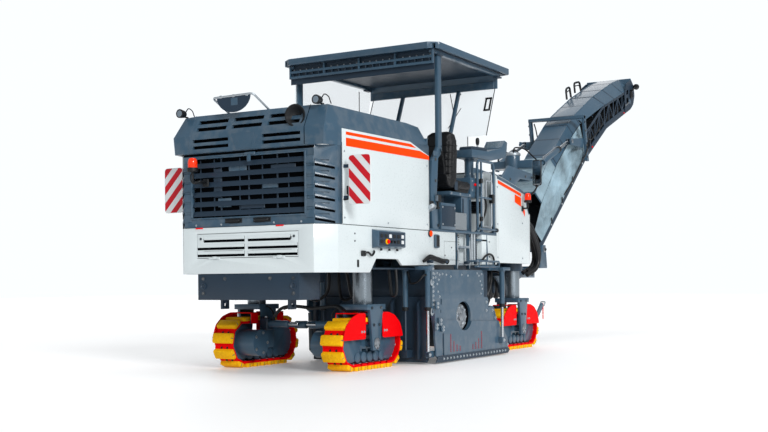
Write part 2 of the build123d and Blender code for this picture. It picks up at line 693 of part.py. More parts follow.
def make_canopy():
    plan = [(canopy_rear, -1010), (canopy_rear + 90, -canopy_half), (canopy_front - 60, -canopy_half),
            (canopy_front, -1010), (canopy_front, 1010), (canopy_front - 60, canopy_half),
            (canopy_rear + 90, canopy_half), (canopy_rear, 1010)]
    roof = prism(plan, "Z", 3790, canopy_top)
    roof -= block((canopy_rear + 40, canopy_front - 40), (-1090, 1090), (3780, canopy_top - 20))
    bars = []
    for z in (3620, 3690):
        bars.append(block((-3700, -3670), (-1050, 1050), (z, z + 32)))
    for y in (-1040, -520, 0, 520, 1040):
        bars.append(block((-3700, -3670), (y - 12, y + 12), (3620, 3850)))
    front_drop = block((-1720, -1690), (-1000, 1000), (3600, 3850))
    keep("canopy_roof", fuse([roof, front_drop] + bars))
    posts = []
    for side in (-1, 1):
        y = side * 1020
        outline = [(-3560, 3790), (-3460, 3790), (-3460, 2560), (-3560, 2480), (-3600, 2060), (-3560, platform_z),
                   (-3720, platform_z), (-3760, 2110), (-3720, 2440), (-3560, 2620)]
        posts.append(prism(outline, "Y", y - 22, y + 22))
    for y in (-440, 440):
        posts.append(prism([(-1722, 3600), (-1782, 3600), (-2090, 2900), (-2090, 2330), (-2060, 2330), (-2060, 2450), (-2030, 2900)],
                           "Y", y - 20, y + 20))
    keep("canopy_posts", posts)
    upper = prism([(-1694, 3600), (-1702, 3600), (-1992, 2935), (-1984, 2935)], "Y", -960, 960)
    lower = prism([(-1984, 2935), (-1992, 2935), (-2007, 2900), (-2007, 2445), (-1999, 2445), (-1999, 2900)],
                  "Y", -690, 960)
    keep("windscreen", upper + lower)


def make_slew():
    head = [bar((slew_x, 0, 2700), (slew_x, 0, 3050), 120),
            block((slew_x - 60, slew_x + 260), (-ram_y + 40, ram_y - 40), (2800, 2920))]
    for side in (-1, 1):
        y = side * (ram_y - 40)
        head.append(block((slew_x + 140, slew_x + 260), (y - 12, y + 12), (2780, 2940)))
    fork = [bar((slew_x, 0, 1130), (slew_x, 0, 1180), 260)]
    for side in (-1, 1):
        y = side * 490
        outline = [(slew_x - 110, 1180), (slew_x - 110, 1210), (lift_x - 70, 1550), (lift_x + 70, 1550),
                   (slew_x + 190, 1210), (slew_x + 190, 1180)]
        ear = prism(outline, "Y", y - 18, y + 18)
        fork.append(ear - bar((lift_x, y - 30, lift_z), (lift_x, y + 30, lift_z), pivot_radius + 0.5))
    fork.append(block((slew_x - 110, slew_x + 190), (-508, 508), (1180, 1210)))
    keep("slew_frame", [fuse(head), fuse(fork)])


def boom_line(table, x):
    """Height of a side line of the boom at x."""
    for (x0, z0), (x1, z1) in zip(table, table[1:]):
        if x <= x1:
            return z0 + (z1 - z0) * (x - x0) / (x1 - x0)
    return table[-1][1]


low_line = [(1120, 1440), (3350, 3150), (4450, 3800), (5700, 4270), (5900, 4345)]
side_line = [(1120, 1660), (3350, 3640), (4280, 4200), (5100, 4480), (5900, 4760)]
top_line = [(1500, 2420), (2200, 3120), (3000, 3710), (3350, 3930), (4350, 4400), (5400, 4800), (5900, 4950)]


def make_boom():
    """Discharge conveyor: pan, lattice, belt, cover, side sheets, head and cross frame."""
    pan = low_line + [(x, z + 60) for x, z in reversed(low_line)]
    frame = [prism(pan, "Y", -430, 430)]
    for side in (-1, 1):
        y = side * (boom_half - 10)
        rail = low_line + [(x, z + 110) for x, z in reversed(low_line)]
        frame.append(prism(rail, "Y", y - 10, y + 10))
        chord = [(3250, boom_line(side_line, 3250))] + side_line[2:]
        lower = [(x, z - 45) for x, z in reversed(chord)]
        frame.append(prism(chord + lower, "Y", y - 10, y + 10))
        x = 3300
        up = True
        while x < 5600:
            a = (x, y, boom_line(low_line, x) + 90)
            b = (x, y, boom_line(side_line, x) - 30)
            c = (x + 260, y, boom_line(side_line, x + 260) - 30)
            d = (x + 260, y, boom_line(low_line, x + 260) + 90)
            frame.append(bar(a, b, 10))
            frame.append(bar(a, c, 10) if up else bar(b, d, 10))
            up = not up
            x += 260
    for side in (-1, 1):
        y = side * (boom_half + 5)
        frame.append(bar((lift_x, y - side * 25, lift_z), (lift_x, y + side * 50, lift_z), pivot_radius))
    keep("boom_frame", fuse(frame))

    belt = [(x, z + 60) for x, z in low_line] + [(x, z + 150) for x, z in reversed(low_line)]
    keep("boom_belt", prism(belt, "Y", -380, 380))

    stations = [1500, 2200, 3000, 3350, 4280, 5400, 5900]
    outer = []
    for x in stations:
        high = boom_line(top_line, x)
        mid = high - 170 if x < 3400 else boom_line(side_line, x)
        half = 330 if x < 3400 else boom_half
        outer.append(section(x, [(-half, mid), (-220, high), (220, high), (half, mid), (half - 16, mid),
                                 (212, high - 16), (-212, high - 16), (-half + 16, mid)]))
    cover = Solid.make_loft(outer, ruled=True)

    sheets = []
    for side in (-1, 1):
        rows = []
        for x in (1500, 2200, 3000, 3330):
            low = boom_line(low_line, x) + 110
            high = boom_line(top_line, x) - 170
            rows.append(section(x, [(side * 448, low), (side * 332, high), (side * 320, high), (side * 436, low)]))
        sheets.append(Solid.make_loft(rows, ruled=True))
    keep("boom_sheets", sheets)

    head = [(5900, 4345), (6060, 4450), (6140, 4640), (6080, 4840), (5900, 4950)]
    hood = prism(head, "Y", -boom_half, boom_half)
    keep("boom_cover", cover + hood)

    posts = []
    for side in (-1, 1):
        y = side * 500
        posts.append(prism([(3180, 3080), (3270, 3080), (3110, 3870), (3020, 3870)], "Y", y - 22, y + 22))
        lug = block((3160, 3260), (min(side * boom_half, y), max(side * boom_half, y)), (3095, 3160))
        posts.append(lug)
        ear = [(ram_eye[0] - 50, ram_eye[1] - 60), (ram_eye[0] + 60, ram_eye[1] - 60), (3090, 3300), (3150, 3480),
               (ram_eye[0] + 20, ram_eye[1] + 50), (ram_eye[0] - 50, ram_eye[1] + 50)]
        posts.append(prism(ear, "Y", min(side * 455, side * 478), max(side * 455, side * 478)))
        posts.append(bar((ram_eye[0], side * 430, ram_eye[1]), (ram_eye[0], side * 478, ram_eye[1]), 24))
    posts.append(block((3020, 3110), (-522, 522), (3815, 3870)))
    keep("cross_frame", fuse(posts))


def make_rams():
    """Two lift rams, each a barrel on the slew head and a rod towards the cross frame."""
    run = Vector(ram_eye[0] - ram_base[0], 0, ram_eye[1] - ram_base[1])
    way = run.normalized()
    barrels = []
    rods = []
    for side in (-1, 1):
        base = Vector(ram_base[0], side * ram_y, ram_base[1])
        tube = Solid.make_cylinder(46, 790, Plane(origin=base + way * 100, z_dir=way))
        bore = Solid.make_cylinder(32, 800, Plane(origin=base + way * 130, z_dir=way))
        eye = bar((ram_base[0], side * (ram_y - 20), ram_base[1]), (ram_base[0], side * (ram_y + 20), ram_base[1]), 50)
        neck = Solid.make_cylinder(24, 110, Plane(origin=base, z_dir=way))
        barrels.append(tube - bore + eye + neck)
        end = base + run
        rod = Solid.make_cylinder(28, 1020, Plane(origin=end - way * 1040, z_dir=way))
        ring = bar((end.X, side * (ram_y - 22), end.Z), (end.X, side * (ram_y + 22), end.Z), 48)
        rods.append(rod + ring)
    keep("ram_barrels", barrels)
    keep("ram_rods", rods)


def make_fittings():
    """Mirror, front beacon, tail hoops and lamp of the boom, and the front hook."""
    arm = pipe([(-740, -992, 2150), (-770, -1130, 2240), (-800, -1190, 2300), (-800, -1200, 2345)], 12, 20)
    glass = block((-812, -788), (-1270, -1130), (2330, 2700))
    keep("mirror", fuse([arm, glass]))
    front = [bar((-850, -1075, 2090), (-850, -1075, 2130), 55), bar((-850, -1075, 2120), (-850, -1075, 2230), 46),
             bar((-850, -1075, 2000), (-850, -1075, 2095), 14), bar((-850, -1075, 2012), (-850, -992, 2012), 14)]
    keep("front_beacon", fuse(front))
    hoops = []
    for x, y in ((4480, 330), (4900, 330)):
        z = boom_line(top_line, x) - 30
        hoop = pipe([(x - 90, y - 40, z - 60), (x - 110, y - 20, z + 230), (x + 90, y - 20, z + 300),
                     (x + 120, y - 40, z)], 20, 60)
        hoops.append(max((hoop - nodes["boom_cover"]).solids(), key=lambda piece: piece.volume))
    keep("boom_hoops", hoops)
    lamp = Pos(6030, -515, 4800) * Rot(0, 90, 0) * Cone(44, 60, 90)
    stalk = bar((5850, -515, 4705), (6010, -515, 4790), 14) + block((5830, 5870), (-530, -450), (4690, 4720))
    keep("boom_lamp", fuse([lamp, stalk]))


def main():
    make_undercarriage()
    make_frame()
    make_chamber()
    make_drum()
    make_side_plates()
    make_lower_body()
    make_hood()
    make_power()
    make_platform()
    make_rails()
    make_control_box()
    make_front_body()
    make_primary()
    make_canopy()
    make_slew()
    make_boom()
    make_rams()
    make_fittings()
    os.makedirs("parts", exist_ok=True)
    for name, shape in nodes.items():
        export_step(shape, "parts/" + name + ".step")


main()
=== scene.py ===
"""Looks of a compact cold planer on four steered tracks: materials, details, floor, light, camera."""
import math

import bmesh
import bpy
from mathutils import Matrix, Quaternion, Vector
from mathutils.bvhtree import BVHTree
from mathutils.geometry import tessellate_polygon


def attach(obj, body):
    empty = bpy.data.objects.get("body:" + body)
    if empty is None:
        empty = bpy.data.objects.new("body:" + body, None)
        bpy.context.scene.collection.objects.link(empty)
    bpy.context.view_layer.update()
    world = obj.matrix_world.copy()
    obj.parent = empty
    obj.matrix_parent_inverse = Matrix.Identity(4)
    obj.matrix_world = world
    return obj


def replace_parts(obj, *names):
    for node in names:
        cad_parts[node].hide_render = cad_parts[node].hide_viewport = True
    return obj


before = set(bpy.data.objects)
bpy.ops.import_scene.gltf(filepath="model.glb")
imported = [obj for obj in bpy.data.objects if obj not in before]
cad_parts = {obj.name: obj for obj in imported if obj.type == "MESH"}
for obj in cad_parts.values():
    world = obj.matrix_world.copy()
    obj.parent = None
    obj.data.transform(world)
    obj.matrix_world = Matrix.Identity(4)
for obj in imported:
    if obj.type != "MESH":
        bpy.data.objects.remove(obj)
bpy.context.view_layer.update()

# Camera, from the vanishing points and the known track size
camera_at = (-15.785, -7.319, 0.979)
camera_heading = 29.99
camera_roll = -0.485
focal_px = 1127.4
picture_width_px = 768
picture_height_px = 432
principal_row_px = 282
sensor_mm = 36.0

# Light: brightness of the surroundings and of the backdrop, and the suns
ambient = 0.36
backdrop = 1.05
suns = [
    # name, direction towards it, strength, size in degrees
    ("key", (-0.46, -0.79, 0.40), 2.05, 20),
    ("top", (0.1, -0.1, 1.0), 1.15, 45),
    ("rim", (0.75, 0.45, 0.5), 0.4, 40),
]

# Directions: X points forwards, Y to the left and Z up
rear, front, right, up = (-1, 0, 0), (1, 0, 0), (0, -1, 0), (0, 0, 1)

# Places of the CAD model that pieces sit on, in metres
corners = {"rear_left": (-4.87, 0.739), "rear_right": (-4.87, -0.739), "front_left": (-0.67, 0.739),
           "front_right": (-0.67, -0.739)}
track_half = 0.393
track_mid = 0.292
pin_radius = 0.195
shoe_count = 20
body_side = 1.04
plate_y = -1.165
drum_x, drum_z = -3.05, 0.55
slew_x = 1.1
foot_pin = (1.16, 1.48)

# Edges of the discharge conveyor: X and Z along its lower rail, its cover's side edge and its cover's ridge
low_line = [(1.12, 1.44), (3.35, 3.15), (4.45, 3.80), (5.70, 4.27), (5.90, 4.345)]
side_line = [(1.12, 1.66), (3.35, 3.64), (4.28, 4.20), (5.10, 4.48), (5.90, 4.76)]
top_line = [(1.50, 2.42), (2.20, 3.12), (3.00, 3.71), (3.35, 3.93), (4.35, 4.40), (5.40, 4.80), (5.90, 4.95)]


def linear(colour):
    """Linear values of an 8-bit screen colour."""
    return tuple((c / 255 / 12.92) if c <= 10 else ((c / 255 + 0.055) / 1.055) ** 2.4 for c in colour) + (1,)


def surface(name, colour, rough, metal=0.0, coat=0.0, vary=0.06, drift=1.9, grain=60.0, bump=0.05, wear=0.0,
            alpha=1.0, spec=0.35, pattern=None, glow=0.0):
    """Procedural finish: colour drift, worn edges, roughness and bump."""
    mat = bpy.data.materials.new(name)
    mat.use_nodes = True
    tree = mat.node_tree
    shader = tree.nodes["Principled BSDF"]
    link = tree.links.new
    place = tree.nodes.new("ShaderNodeTexCoord").outputs["Object"]

    def texture(kind, output, **values):
        tex = tree.nodes.new(kind)
        for key, number in values.items():
            tex.inputs[key].default_value = number
        link(place, tex.inputs["Vector"])
        return tex, tex.outputs[output]

    def noise(scale, detail):
        return texture("ShaderNodeTexNoise", "Fac", Scale=scale, Detail=detail)[1]

    def remap(value, low, high, to_low, to_high):
        node = tree.nodes.new("ShaderNodeMapRange")
        for key, number in zip(("From Min", "From Max", "To Min", "To Max"), (low, high, to_low, to_high)):
            node.inputs[key].default_value = number
        link(value, node.inputs["Value"])
        return node.outputs["Result"]

    def mix(factor, a, b):
        node = tree.nodes.new("ShaderNodeMix")
        node.data_type = "RGBA"
        link(factor, node.inputs[0])
        for value, socket in ((a, node.inputs[6]), (b, node.inputs[7])):
            if isinstance(value, tuple):
                socket.default_value = value
            else:
                link(value, socket)
        return node.outputs[2]

    def times(a, b):
        node = tree.nodes.new("ShaderNodeMath")
        node.operation = "MULTIPLY"
        link(a, node.inputs[0])
        link(b, node.inputs[1])
        return node.outputs[0]

    base = linear(colour)
    dark = tuple(c * (1 - vary) for c in base[:3]) + (1,)
    light = tuple(min(1, c * (1 + vary)) for c in base[:3]) + (1,)
    fine = noise(grain, 4)
    paint = mix(remap(noise(drift, 5), 0.3, 0.7, 0, 1), dark, light)
    if wear:
        edge = tree.nodes.new("ShaderNodeNewGeometry").outputs["Pointiness"]
        worn = times(remap(edge, 0.54, 0.62, 0, wear), remap(noise(9, 6), 0.42, 0.6, 0, 1))
        paint = mix(worn, paint, linear((150, 150, 148)))
    link(paint, shader.inputs["Base Color"])
    link(remap(fine, 0.3, 0.7, max(0.02, rough * 0.85), min(1, rough * 1.2)), shader.inputs["Roughness"])
    for key, number in (("Metallic", metal), ("Coat Weight", coat), ("Alpha", alpha),
                        ("Specular IOR Level", spec)):
        shader.inputs[key].default_value = number
    if glow:
        shader.inputs["Emission Color"].default_value = base
        shader.inputs["Emission Strength"].default_value = glow
    height = fine
    if pattern == "weave":
        waves = []
        for turn in ("X", "Z"):
            wave, value = texture("ShaderNodeTexWave", "Fac", Scale=150)
            wave.bands_direction = turn
            waves.append(value)
        height = times(*waves)
    elif pattern:
        scale = {"leather": 320, "spangle": 45, "tread": 26}[pattern]
        height = texture("ShaderNodeTexVoronoi", "Distance", Scale=scale)[1]
    relief = tree.nodes.new("ShaderNodeBump")
    relief.inputs["Strength"].default_value = bump
    relief.inputs["Distance"].default_value = 0.004
    link(height, relief.inputs["Height"])
    link(relief.outputs["Normal"], shader.inputs["Normal"])
    return mat


finish_table = {
    # name: screen colour, roughness, and what differs from plain paint
    "slate": ((57, 84, 104), 0.34, dict(coat=0.3, wear=0.12)),
    # slate with painted shade: darker slate for the rear-facing, recessed and underbody parts that take it
    "slate_shaded": ((35, 52, 68), 0.40, dict(vary=0.08)),
    "white": ((214, 223, 225), 0.30, dict(coat=0.3, vary=0.02, bump=0.0)),
    "red": ((236, 0, 8), 0.5, dict(vary=0.04, spec=0.06)),
    "red_dark": ((150, 0, 28), 0.42, dict(vary=0.05)),
    "orange": ((250, 68, 0), 0.4, dict(vary=0.02, spec=0.06)),
    "pad": ((255, 186, 16), 0.62, dict(vary=0.14, drift=40, bump=0.3, grain=120, spec=0.1)),
    "steel": ((158, 164, 170), 0.34, dict(metal=0.9, wear=0.2)),
    "dark_steel": ((58, 66, 74), 0.46, dict(metal=0.5, vary=0.12, wear=0.5)),
    "chrome": ((190, 195, 200), 0.16, dict(metal=1.0, bump=0.01)),
    "column": ((132, 142, 150), 0.30, dict(metal=0.85, vary=0.12, bump=0.02)),
    "zinc": ((176, 184, 190), 0.40, dict(metal=0.75, pattern="spangle", bump=0.15)),
    "tread": ((160, 168, 174), 0.42, dict(metal=0.7, pattern="tread", bump=0.6)),
    "black": ((20, 23, 26), 0.42, dict()),
    "hose": ((13, 15, 18), 0.40, dict(grain=200, bump=0.2)),
    "rubber": ((30, 32, 35), 0.75, dict(bump=0.3)),
    "vinyl": ((15, 17, 20), 0.42, dict(pattern="leather", bump=0.3)),
    "tarp": ((134, 158, 170), 0.32, dict(vary=0.5, drift=2.2, pattern="weave", bump=0.3, spec=0.5)),
    "glass": ((206, 226, 232), 0.03, dict(alpha=0.12, vary=0.01, bump=0.0)),
    "lens": ((112, 126, 138), 0.10, dict(vary=0.02, bump=0.0, spec=0.6)),
    "mirror": ((210, 216, 220), 0.03, dict(metal=1.0, vary=0.01, bump=0.0)),
    "amber": ((255, 52, 10), 0.12, dict(coat=0.6, vary=0.25, drift=18, glow=0.15)),
    "board_white": ((224, 228, 229), 0.40, dict(vary=0.03, coat=0.3)),
    "board_red": ((200, 0, 26), 0.38, dict(coat=0.3)),
    # near-black for dark joints, and painted shade in slots, openings, recesses and under overhangs
    "gap_and_painted_shade": ((8, 10, 13), 0.9, dict(spec=0.0)),
}
finishes = {}


def finish_of(name):
    if name not in finishes:
        colour, rough, more = finish_table[name]
        finishes[name] = surface(name, colour, rough, **more)
    return finishes[name]


def about(mid, half):
    """Span of the same size on both sides of a middle."""
    return mid - half, mid + half


def span(a, b):
    """Two ends in rising order."""
    return min(a, b), max(a, b)


def oval(x, z, half_x, half_z, first, last, count):
    """Points of an ellipse from one step to another, of a full turn cut into count steps."""
    turns = [k * math.tau / count for k in range(first, last)]
    return [Vector((x + half_x * math.cos(a), z + half_z * math.sin(a))) for a in turns]


def inset(points, gap):
    """Outline moved inwards by gap."""
    flat = [Vector(p) for p in points]
    following = flat[1:] + flat[:1]
    area = sum(a.x * b.y - b.x * a.y for a, b in zip(flat, following))
    sign = 1 if area > 0 else -1
    out = []
    for back, mid, on in zip(flat[-1:] + flat[:-1], flat, following):
        before = (mid - back).normalized()
        after = (on - mid).normalized()
        n = Vector((-before.y, before.x)) * sign
        m = Vector((-after.y, after.x)) * sign
        out.append(mid + (n + m) * (gap / max(0.3, 1 + n.dot(m))))
    return out


def corner(back, mid, on, radius, steps):
    """Points of the bend at mid, between the runs from back and to on."""
    start = mid + (back - mid).normalized() * min(radius, (back - mid).length * 0.45)
    end = mid + (on - mid).normalized() * min(radius, (on - mid).length * 0.45)
    shares = [k / steps for k in range(steps + 1)]
    return [start * (1 - t) ** 2 + mid * (2 * t * (1 - t)) + end * t ** 2 for t in shares]


def rounded(points, radius, steps=3):
    """Outline with rounded corners."""
    flat = [Vector(p) for p in points]
    out = []
    for back, mid, on in zip(flat[-1:] + flat[:-1], flat, flat[1:] + flat[:1]):
        out += corner(back, mid, on, radius, steps)
    return out


def bent(points, radius, steps=5):
    """Path of straight runs with rounded bends."""
    path = [Vector(p) for p in points]
    out = [path[0]]
    for back, mid, on in zip(path, path[1:], path[2:]):
        out += corner(back, mid, on, radius, steps)
    return out + [path[-1]]


def flowing(points, steps=7):
    """Smooth path through points."""
    path = [Vector(p) for p in points]
    path = [path[0] * 2 - path[1]] + path + [path[-1] * 2 - path[-2]]
    out = []
    for p, a, b, q in zip(path, path[1:], path[2:], path[3:]):
        for k in range(steps):
            t = k / steps
            out.append(0.5 * (2 * a + (b - p) * t + (2 * p - 5 * a + 4 * b - q) * t ** 2
                              + (3 * a - p - 3 * b + q) * t ** 3))
    return out + [path[-2]]


def clipped(points, outline):
    """Part of a polygon inside a convex outline that runs anticlockwise."""
    for p, q in zip(outline, outline[1:] + outline[:1]):
        def inside(v):
            return (q[0] - p[0]) * (v[1] - p[1]) - (q[1] - p[1]) * (v[0] - p[0])
        out = []
        for a, b in zip(points, points[1:] + points[:1]):
            da, db = inside(a), inside(b)
            if da >= 0:
                out.append(a)
            if (da >= 0) != (db >= 0):
                t = da / (da - db)
                out.append((a[0] + (b[0] - a[0]) * t, a[1] + (b[1] - a[1]) * t))
        points = out
    return points


def pushed(p, axis, t):
    """Point p of a flat outline, placed at t along an axis."""
    return {"X": (t, p[0], p[1]), "Y": (p[0], t, p[1]), "Z": (p[0], p[1], t)}[axis]


class Shape:
    """Collects the faces of one piece, with a finish for each."""

    def __init__(self):
        self.verts = []
        self.faces = []
        self.face_kinds = []
        self.kinds = []

    def add(self, verts, faces, kind):
        if kind not in self.kinds:
            self.kinds.append(kind)
        base = len(self.verts)
        self.verts += [Vector(v) for v in verts]
        self.faces += [[base + i for i in f] for f in faces]
        self.face_kinds += [self.kinds.index(kind)] * len(faces)

    def rings(self, rings, kind):
        """Skin over rings of equal length, with end caps."""
        count = len(rings[0])
        faces = []
        for low in range(len(rings) - 1):
            for i in range(count):
                j = (i + 1) % count
                faces.append([low * count + i, low * count + j, (low + 1) * count + j, (low + 1) * count + i])
        faces.append(list(range(count - 1, -1, -1)))
        faces.append([(len(rings) - 1) * count + i for i in range(count)])
        self.add([v for ring in rings for v in ring], faces, kind)

    def slab(self, points, axis, low, high, kind, edge=0.004, corner=0.0):
        """Plate: an outline pushed along an axis, with broken edges."""
        if corner:
            points = rounded(points, corner)
        low, high = span(low, high)
        edge = min(edge, (high - low) * 0.4)
        inner = inset(points, edge)
        levels = ((inner, low), (points, low + edge), (points, high - edge), (inner, high))
        self.rings([[pushed(p, axis, t) for p in outline] for outline, t in levels], kind)

    def pierced(self, points, holes, axis, low, high, kind):
        """Plate with openings: outline and holes pushed along an axis."""
        loops = [[Vector((p[0], p[1], 0)) for p in loop] for loop in [points] + holes]
        flat = [v for loop in loops for v in loop]
        count = len(flat)
        faces = [list(f) for f in tessellate_polygon(loops)]
        faces += [[i + count for i in reversed(f)] for f in faces]
        start = 0
        for loop in loops:
            size = len(loop)
            for i in range(size):
                j = (i + 1) % size
                faces.append([start + i, start + j, start + j + count, start + i + count])
            start += size
        self.add([pushed(v, axis, t) for t in (low, high) for v in flat], faces, kind)

    def box(self, x, y, z, kind, edge=0.004):
        outline = [(x[0], y[0]), (x[1], y[0]), (x[1], y[1]), (x[0], y[1])]
        self.slab(rounded(outline, edge, 1), "Z", z[0], z[1], kind, edge)

    def lathe(self, profile, at, way, kind, sides=24):
        """Turned form: pairs of radius and height along a direction."""
        turn = Matrix.Translation(Vector(at)) @ Vector(way).to_track_quat("Z", "Y").to_matrix().to_4x4()
        angles = [math.tau * i / sides for i in range(sides)]
        self.rings([[turn @ Vector((radius * math.cos(a), radius * math.sin(a), height)) for a in angles]
                    for radius, height in profile], kind)

    def rod(self, start, end, radius, kind, sides=20):
        way = Vector(end) - Vector(start)
        length = way.length
        edge = 0.003
        self.lathe([(radius - edge, 0), (radius, edge), (radius, length - edge), (radius - edge, length)],
                   start, way, kind, sides)

    def tube(self, path, radius, kind, sides=10):
        """Round tube along a path, without twist."""
        path = [Vector(p) for p in path]
        way = (path[1] - path[0]).normalized()
        side = way.orthogonal().normalized()
        angles = [math.tau * k / sides for k in range(sides)]
        out = []
        for before, at, after in zip(path[:1] + path[:-1], path, path[1:] + path[-1:]):
            new = (after - before).normalized()
            side = way.rotation_difference(new) @ side
            side = (side - new * side.dot(new)).normalized()
            top = new.cross(side)
            way = new
            out.append([at + side * (radius * math.cos(a)) + top * (radius * math.sin(a)) for a in angles])
        self.rings(out, kind)

    def hose(self, points, radius, sides=10):
        """Hose or cable on a smooth path."""
        self.tube(flowing(points), radius, "hose", sides)

    def bar(self, points, bend, radius, kind, sides=10):
        """Round bar with bends."""
        self.tube(bent(points, bend), radius, kind, sides)

    def bolts(self, places, way, size, kind):
        """Washers with hexagon heads."""
        for at in places:
            self.lathe([(size * 1.5, 0), (size * 1.5, size * 0.25), (size * 1.4, size * 0.3)], at, way, kind,
                       12)
            self.lathe([(size, size * 0.3), (size, size * 0.9), (size * 0.85, size * 1.05)], at, way, kind, 6)

    def strip(self, rows, kind, thick=0.0015):
        """Thin flat band: rows of low and high points, raised on the side of the first row's normal."""
        a, b = Vector(rows[0][0]), Vector(rows[0][1])
        out = (Vector(rows[1][0]) - a).cross(b - a).normalized() * thick
        rows = [(Vector(low), Vector(high)) for low, high in rows]
        self.rings([[low, high, high + out, low + out] for low, high in rows], kind)

    def moved(self, other, turn):
        """Adds a copy of another shape."""
        for k, kind in enumerate(other.kinds):
            mine = [f for f, kind_index in zip(other.faces, other.face_kinds) if kind_index == k]
            used = sorted({i for f in mine for i in f})
            index = {v: i for i, v in enumerate(used)}
            self.add([turn @ other.verts[v] for v in used], [[index[i] for i in f] for f in mine], kind)

    def mirrored(self):
        """Adds the mirror image, on the other side of the machine, of what the shape has so far."""
        base = len(self.verts)
        self.verts += [Vector((v.x, -v.y, v.z)) for v in self.verts]
        self.faces += [[base + i for i in reversed(f)] for f in self.faces]
        self.face_kinds += self.face_kinds

    def make(self, name, body):
        """The finished object, riding on a body."""
        mesh = bpy.data.meshes.new(name)
        mesh.from_pydata(self.verts, [], self.faces)
        for kind in self.kinds:
            mesh.materials.append(finish_of(kind))
        mesh.polygons.foreach_set("material_index", self.face_kinds)
        mesh.update()
        obj = bpy.data.objects.new(name, mesh)
        bpy.context.scene.collection.objects.link(obj)
        work = bmesh.new()
        work.from_mesh(mesh)
        bmesh.ops.recalc_face_normals(work, faces=work.faces)
        work.to_mesh(mesh)
        work.free()
        mesh.polygons.foreach_set("use_smooth", [True] * len(mesh.polygons))
        mesh.set_sharp_from_angle(angle=math.radians(35))
        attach(obj, body)
        return obj


def smooth_group():
    """Modifier group that shades smooth below 32 degrees."""
    tree = bpy.data.node_groups.new("soft_shading", "GeometryNodeTree")
    for way in ("INPUT", "OUTPUT"):
        tree.interface.new_socket("Geometry", in_out=way, socket_type="NodeSocketGeometry")
    link = tree.links.new
    start = tree.nodes.new("NodeGroupInput")
    end = tree.nodes.new("NodeGroupOutput")
    normal = tree.nodes.new("GeometryNodeSetMeshNormal")
    normal.mode = "SHARPNESS"
    normal.inputs["Remove Custom"].default_value = True
    normal.inputs["Face Sharpness"].default_value = False
    angle = tree.nodes.new("GeometryNodeInputMeshEdgeAngle")
    sharp = tree.nodes.new("FunctionNodeCompare")
    sharp.data_type = "FLOAT"
    sharp.operation = "GREATER_THAN"
    sharp.inputs[1].default_value = math.radians(32)
    link(start.outputs[0], normal.inputs["Mesh"])
    link(angle.outputs["Unsigned Angle"], sharp.inputs[0])
    link(sharp.outputs[0], normal.inputs["Edge Sharpness"])
    link(normal.outputs["Mesh"], end.inputs[0])
    return tree


# Finish of the CAD nodes that aren't plain slate; the darker slate on the grille, housings, frames, carriers
# and beam is painted shade
node_finish = {
    "lower_body": "white", "front_body": "white", "hood_sides": "white", "rear_hatch": "white",
    "milling_drum": "dark_steel", "ram_rods": "chrome", "boom_belt": "rubber", "rear_grille": "slate_shaded",
    "engine_block": "dark_steel", "cooler_block": "steel", "drum_housing": "slate_shaded",
               "scraper": "slate_shaded",
    "boom_frame": "slate_shaded", "main_frame": "slate_shaded", "windscreen": "glass",
               "rear_carrier": "slate_shaded",
    "front_carrier": "slate_shaded", "rear_beam": "slate_shaded",
}


def dress_nodes():
    """Finish and broken edges for the CAD nodes that stay."""
    shading = smooth_group()
    for name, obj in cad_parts.items():
        kind = "column" if name.startswith("column_") else node_finish.get(name, "slate")
        obj.data.materials.clear()
        obj.data.materials.append(finish_of(kind))
        weld = obj.modifiers.new("weld", "WELD")
        weld.merge_threshold = 0.00005
        flat = obj.modifiers.new("flat", "DECIMATE")
        flat.decimate_type = "DISSOLVE"
        flat.angle_limit = math.radians(1)
        edge = obj.modifiers.new("edge", "BEVEL")
        edge.width = 0.005
        edge.segments = 2
        edge.limit_method = "ANGLE"
        edge.angle_limit = math.radians(40)
        soft = obj.modifiers.new("soft", "NODES")
        soft.node_group = shading


def loop_place(run):
    """Point of the track's pin line at a run length, and the angle of its tangent."""
    arc = math.pi * pin_radius
    run %= 4 * track_half + 2 * arc
    if run < 2 * track_half:
        return -track_half + run, track_mid, 0.0
    run -= 2 * track_half
    if run < arc:
        return track_half, track_mid, run / pin_radius
    run -= arc
    if run < 2 * track_half:
        return track_half - run, track_mid, math.pi
    run -= 2 * track_half
    return -track_half, track_mid, math.pi + run / pin_radius


def track_shoe():
    """One shoe: red plate, pad, bolts and chain link, with z outwards from the loop's pin line."""
    shoe = Shape()
    plate = [(-0.092, 0.224), (-0.068, 0.246), (0.068, 0.246), (0.092, 0.224), (0.086, 0.218),
             (-0.086, 0.218)]
    shoe.slab(plate, "Y", -0.128, 0.128, "red", 0.003)
    foot = [(-0.128, -0.058), (-0.135, -0.048), (-0.135, 0.048), (-0.128, 0.058), (0.128, 0.058),
            (0.135, 0.048), (0.135, -0.048), (0.128, -0.058)]
    top = [(y * 0.985, x * 0.86) for y, x in foot]
    levels = [(0.246, foot), (0.277, foot), (0.289, top), (0.2915, [(y * 0.97, x * 0.9) for y, x in top])]
    shoe.rings([[(x, y, z) for y, x in line] for z, line in levels], "pad")
    shoe.box(about(0, 0.004), about(0, 0.136), (0.250, 0.2905), "dark_steel", 0.001)
    for y in (-0.05, 0.03):
        shoe.lathe([(0.013, 0.232), (0.013, 0.247), (0.010, 0.249)], (0.072, y, 0), up, "black", 8)
    link = [(-0.075, 0.214), (-0.03, 0.206), (0.03, 0.206), (0.075, 0.214), (0.066, 0.242), (-0.066, 0.242)]
    for y in (-0.05, 0.05):
        shoe.slab(link, "Y", *about(y, 0.012), "dark_steel", 0.003)
    shoe.rod((0, -0.078, 0.222), (0, 0.078, 0.222), 0.013, "steel", 10)
    return shoe


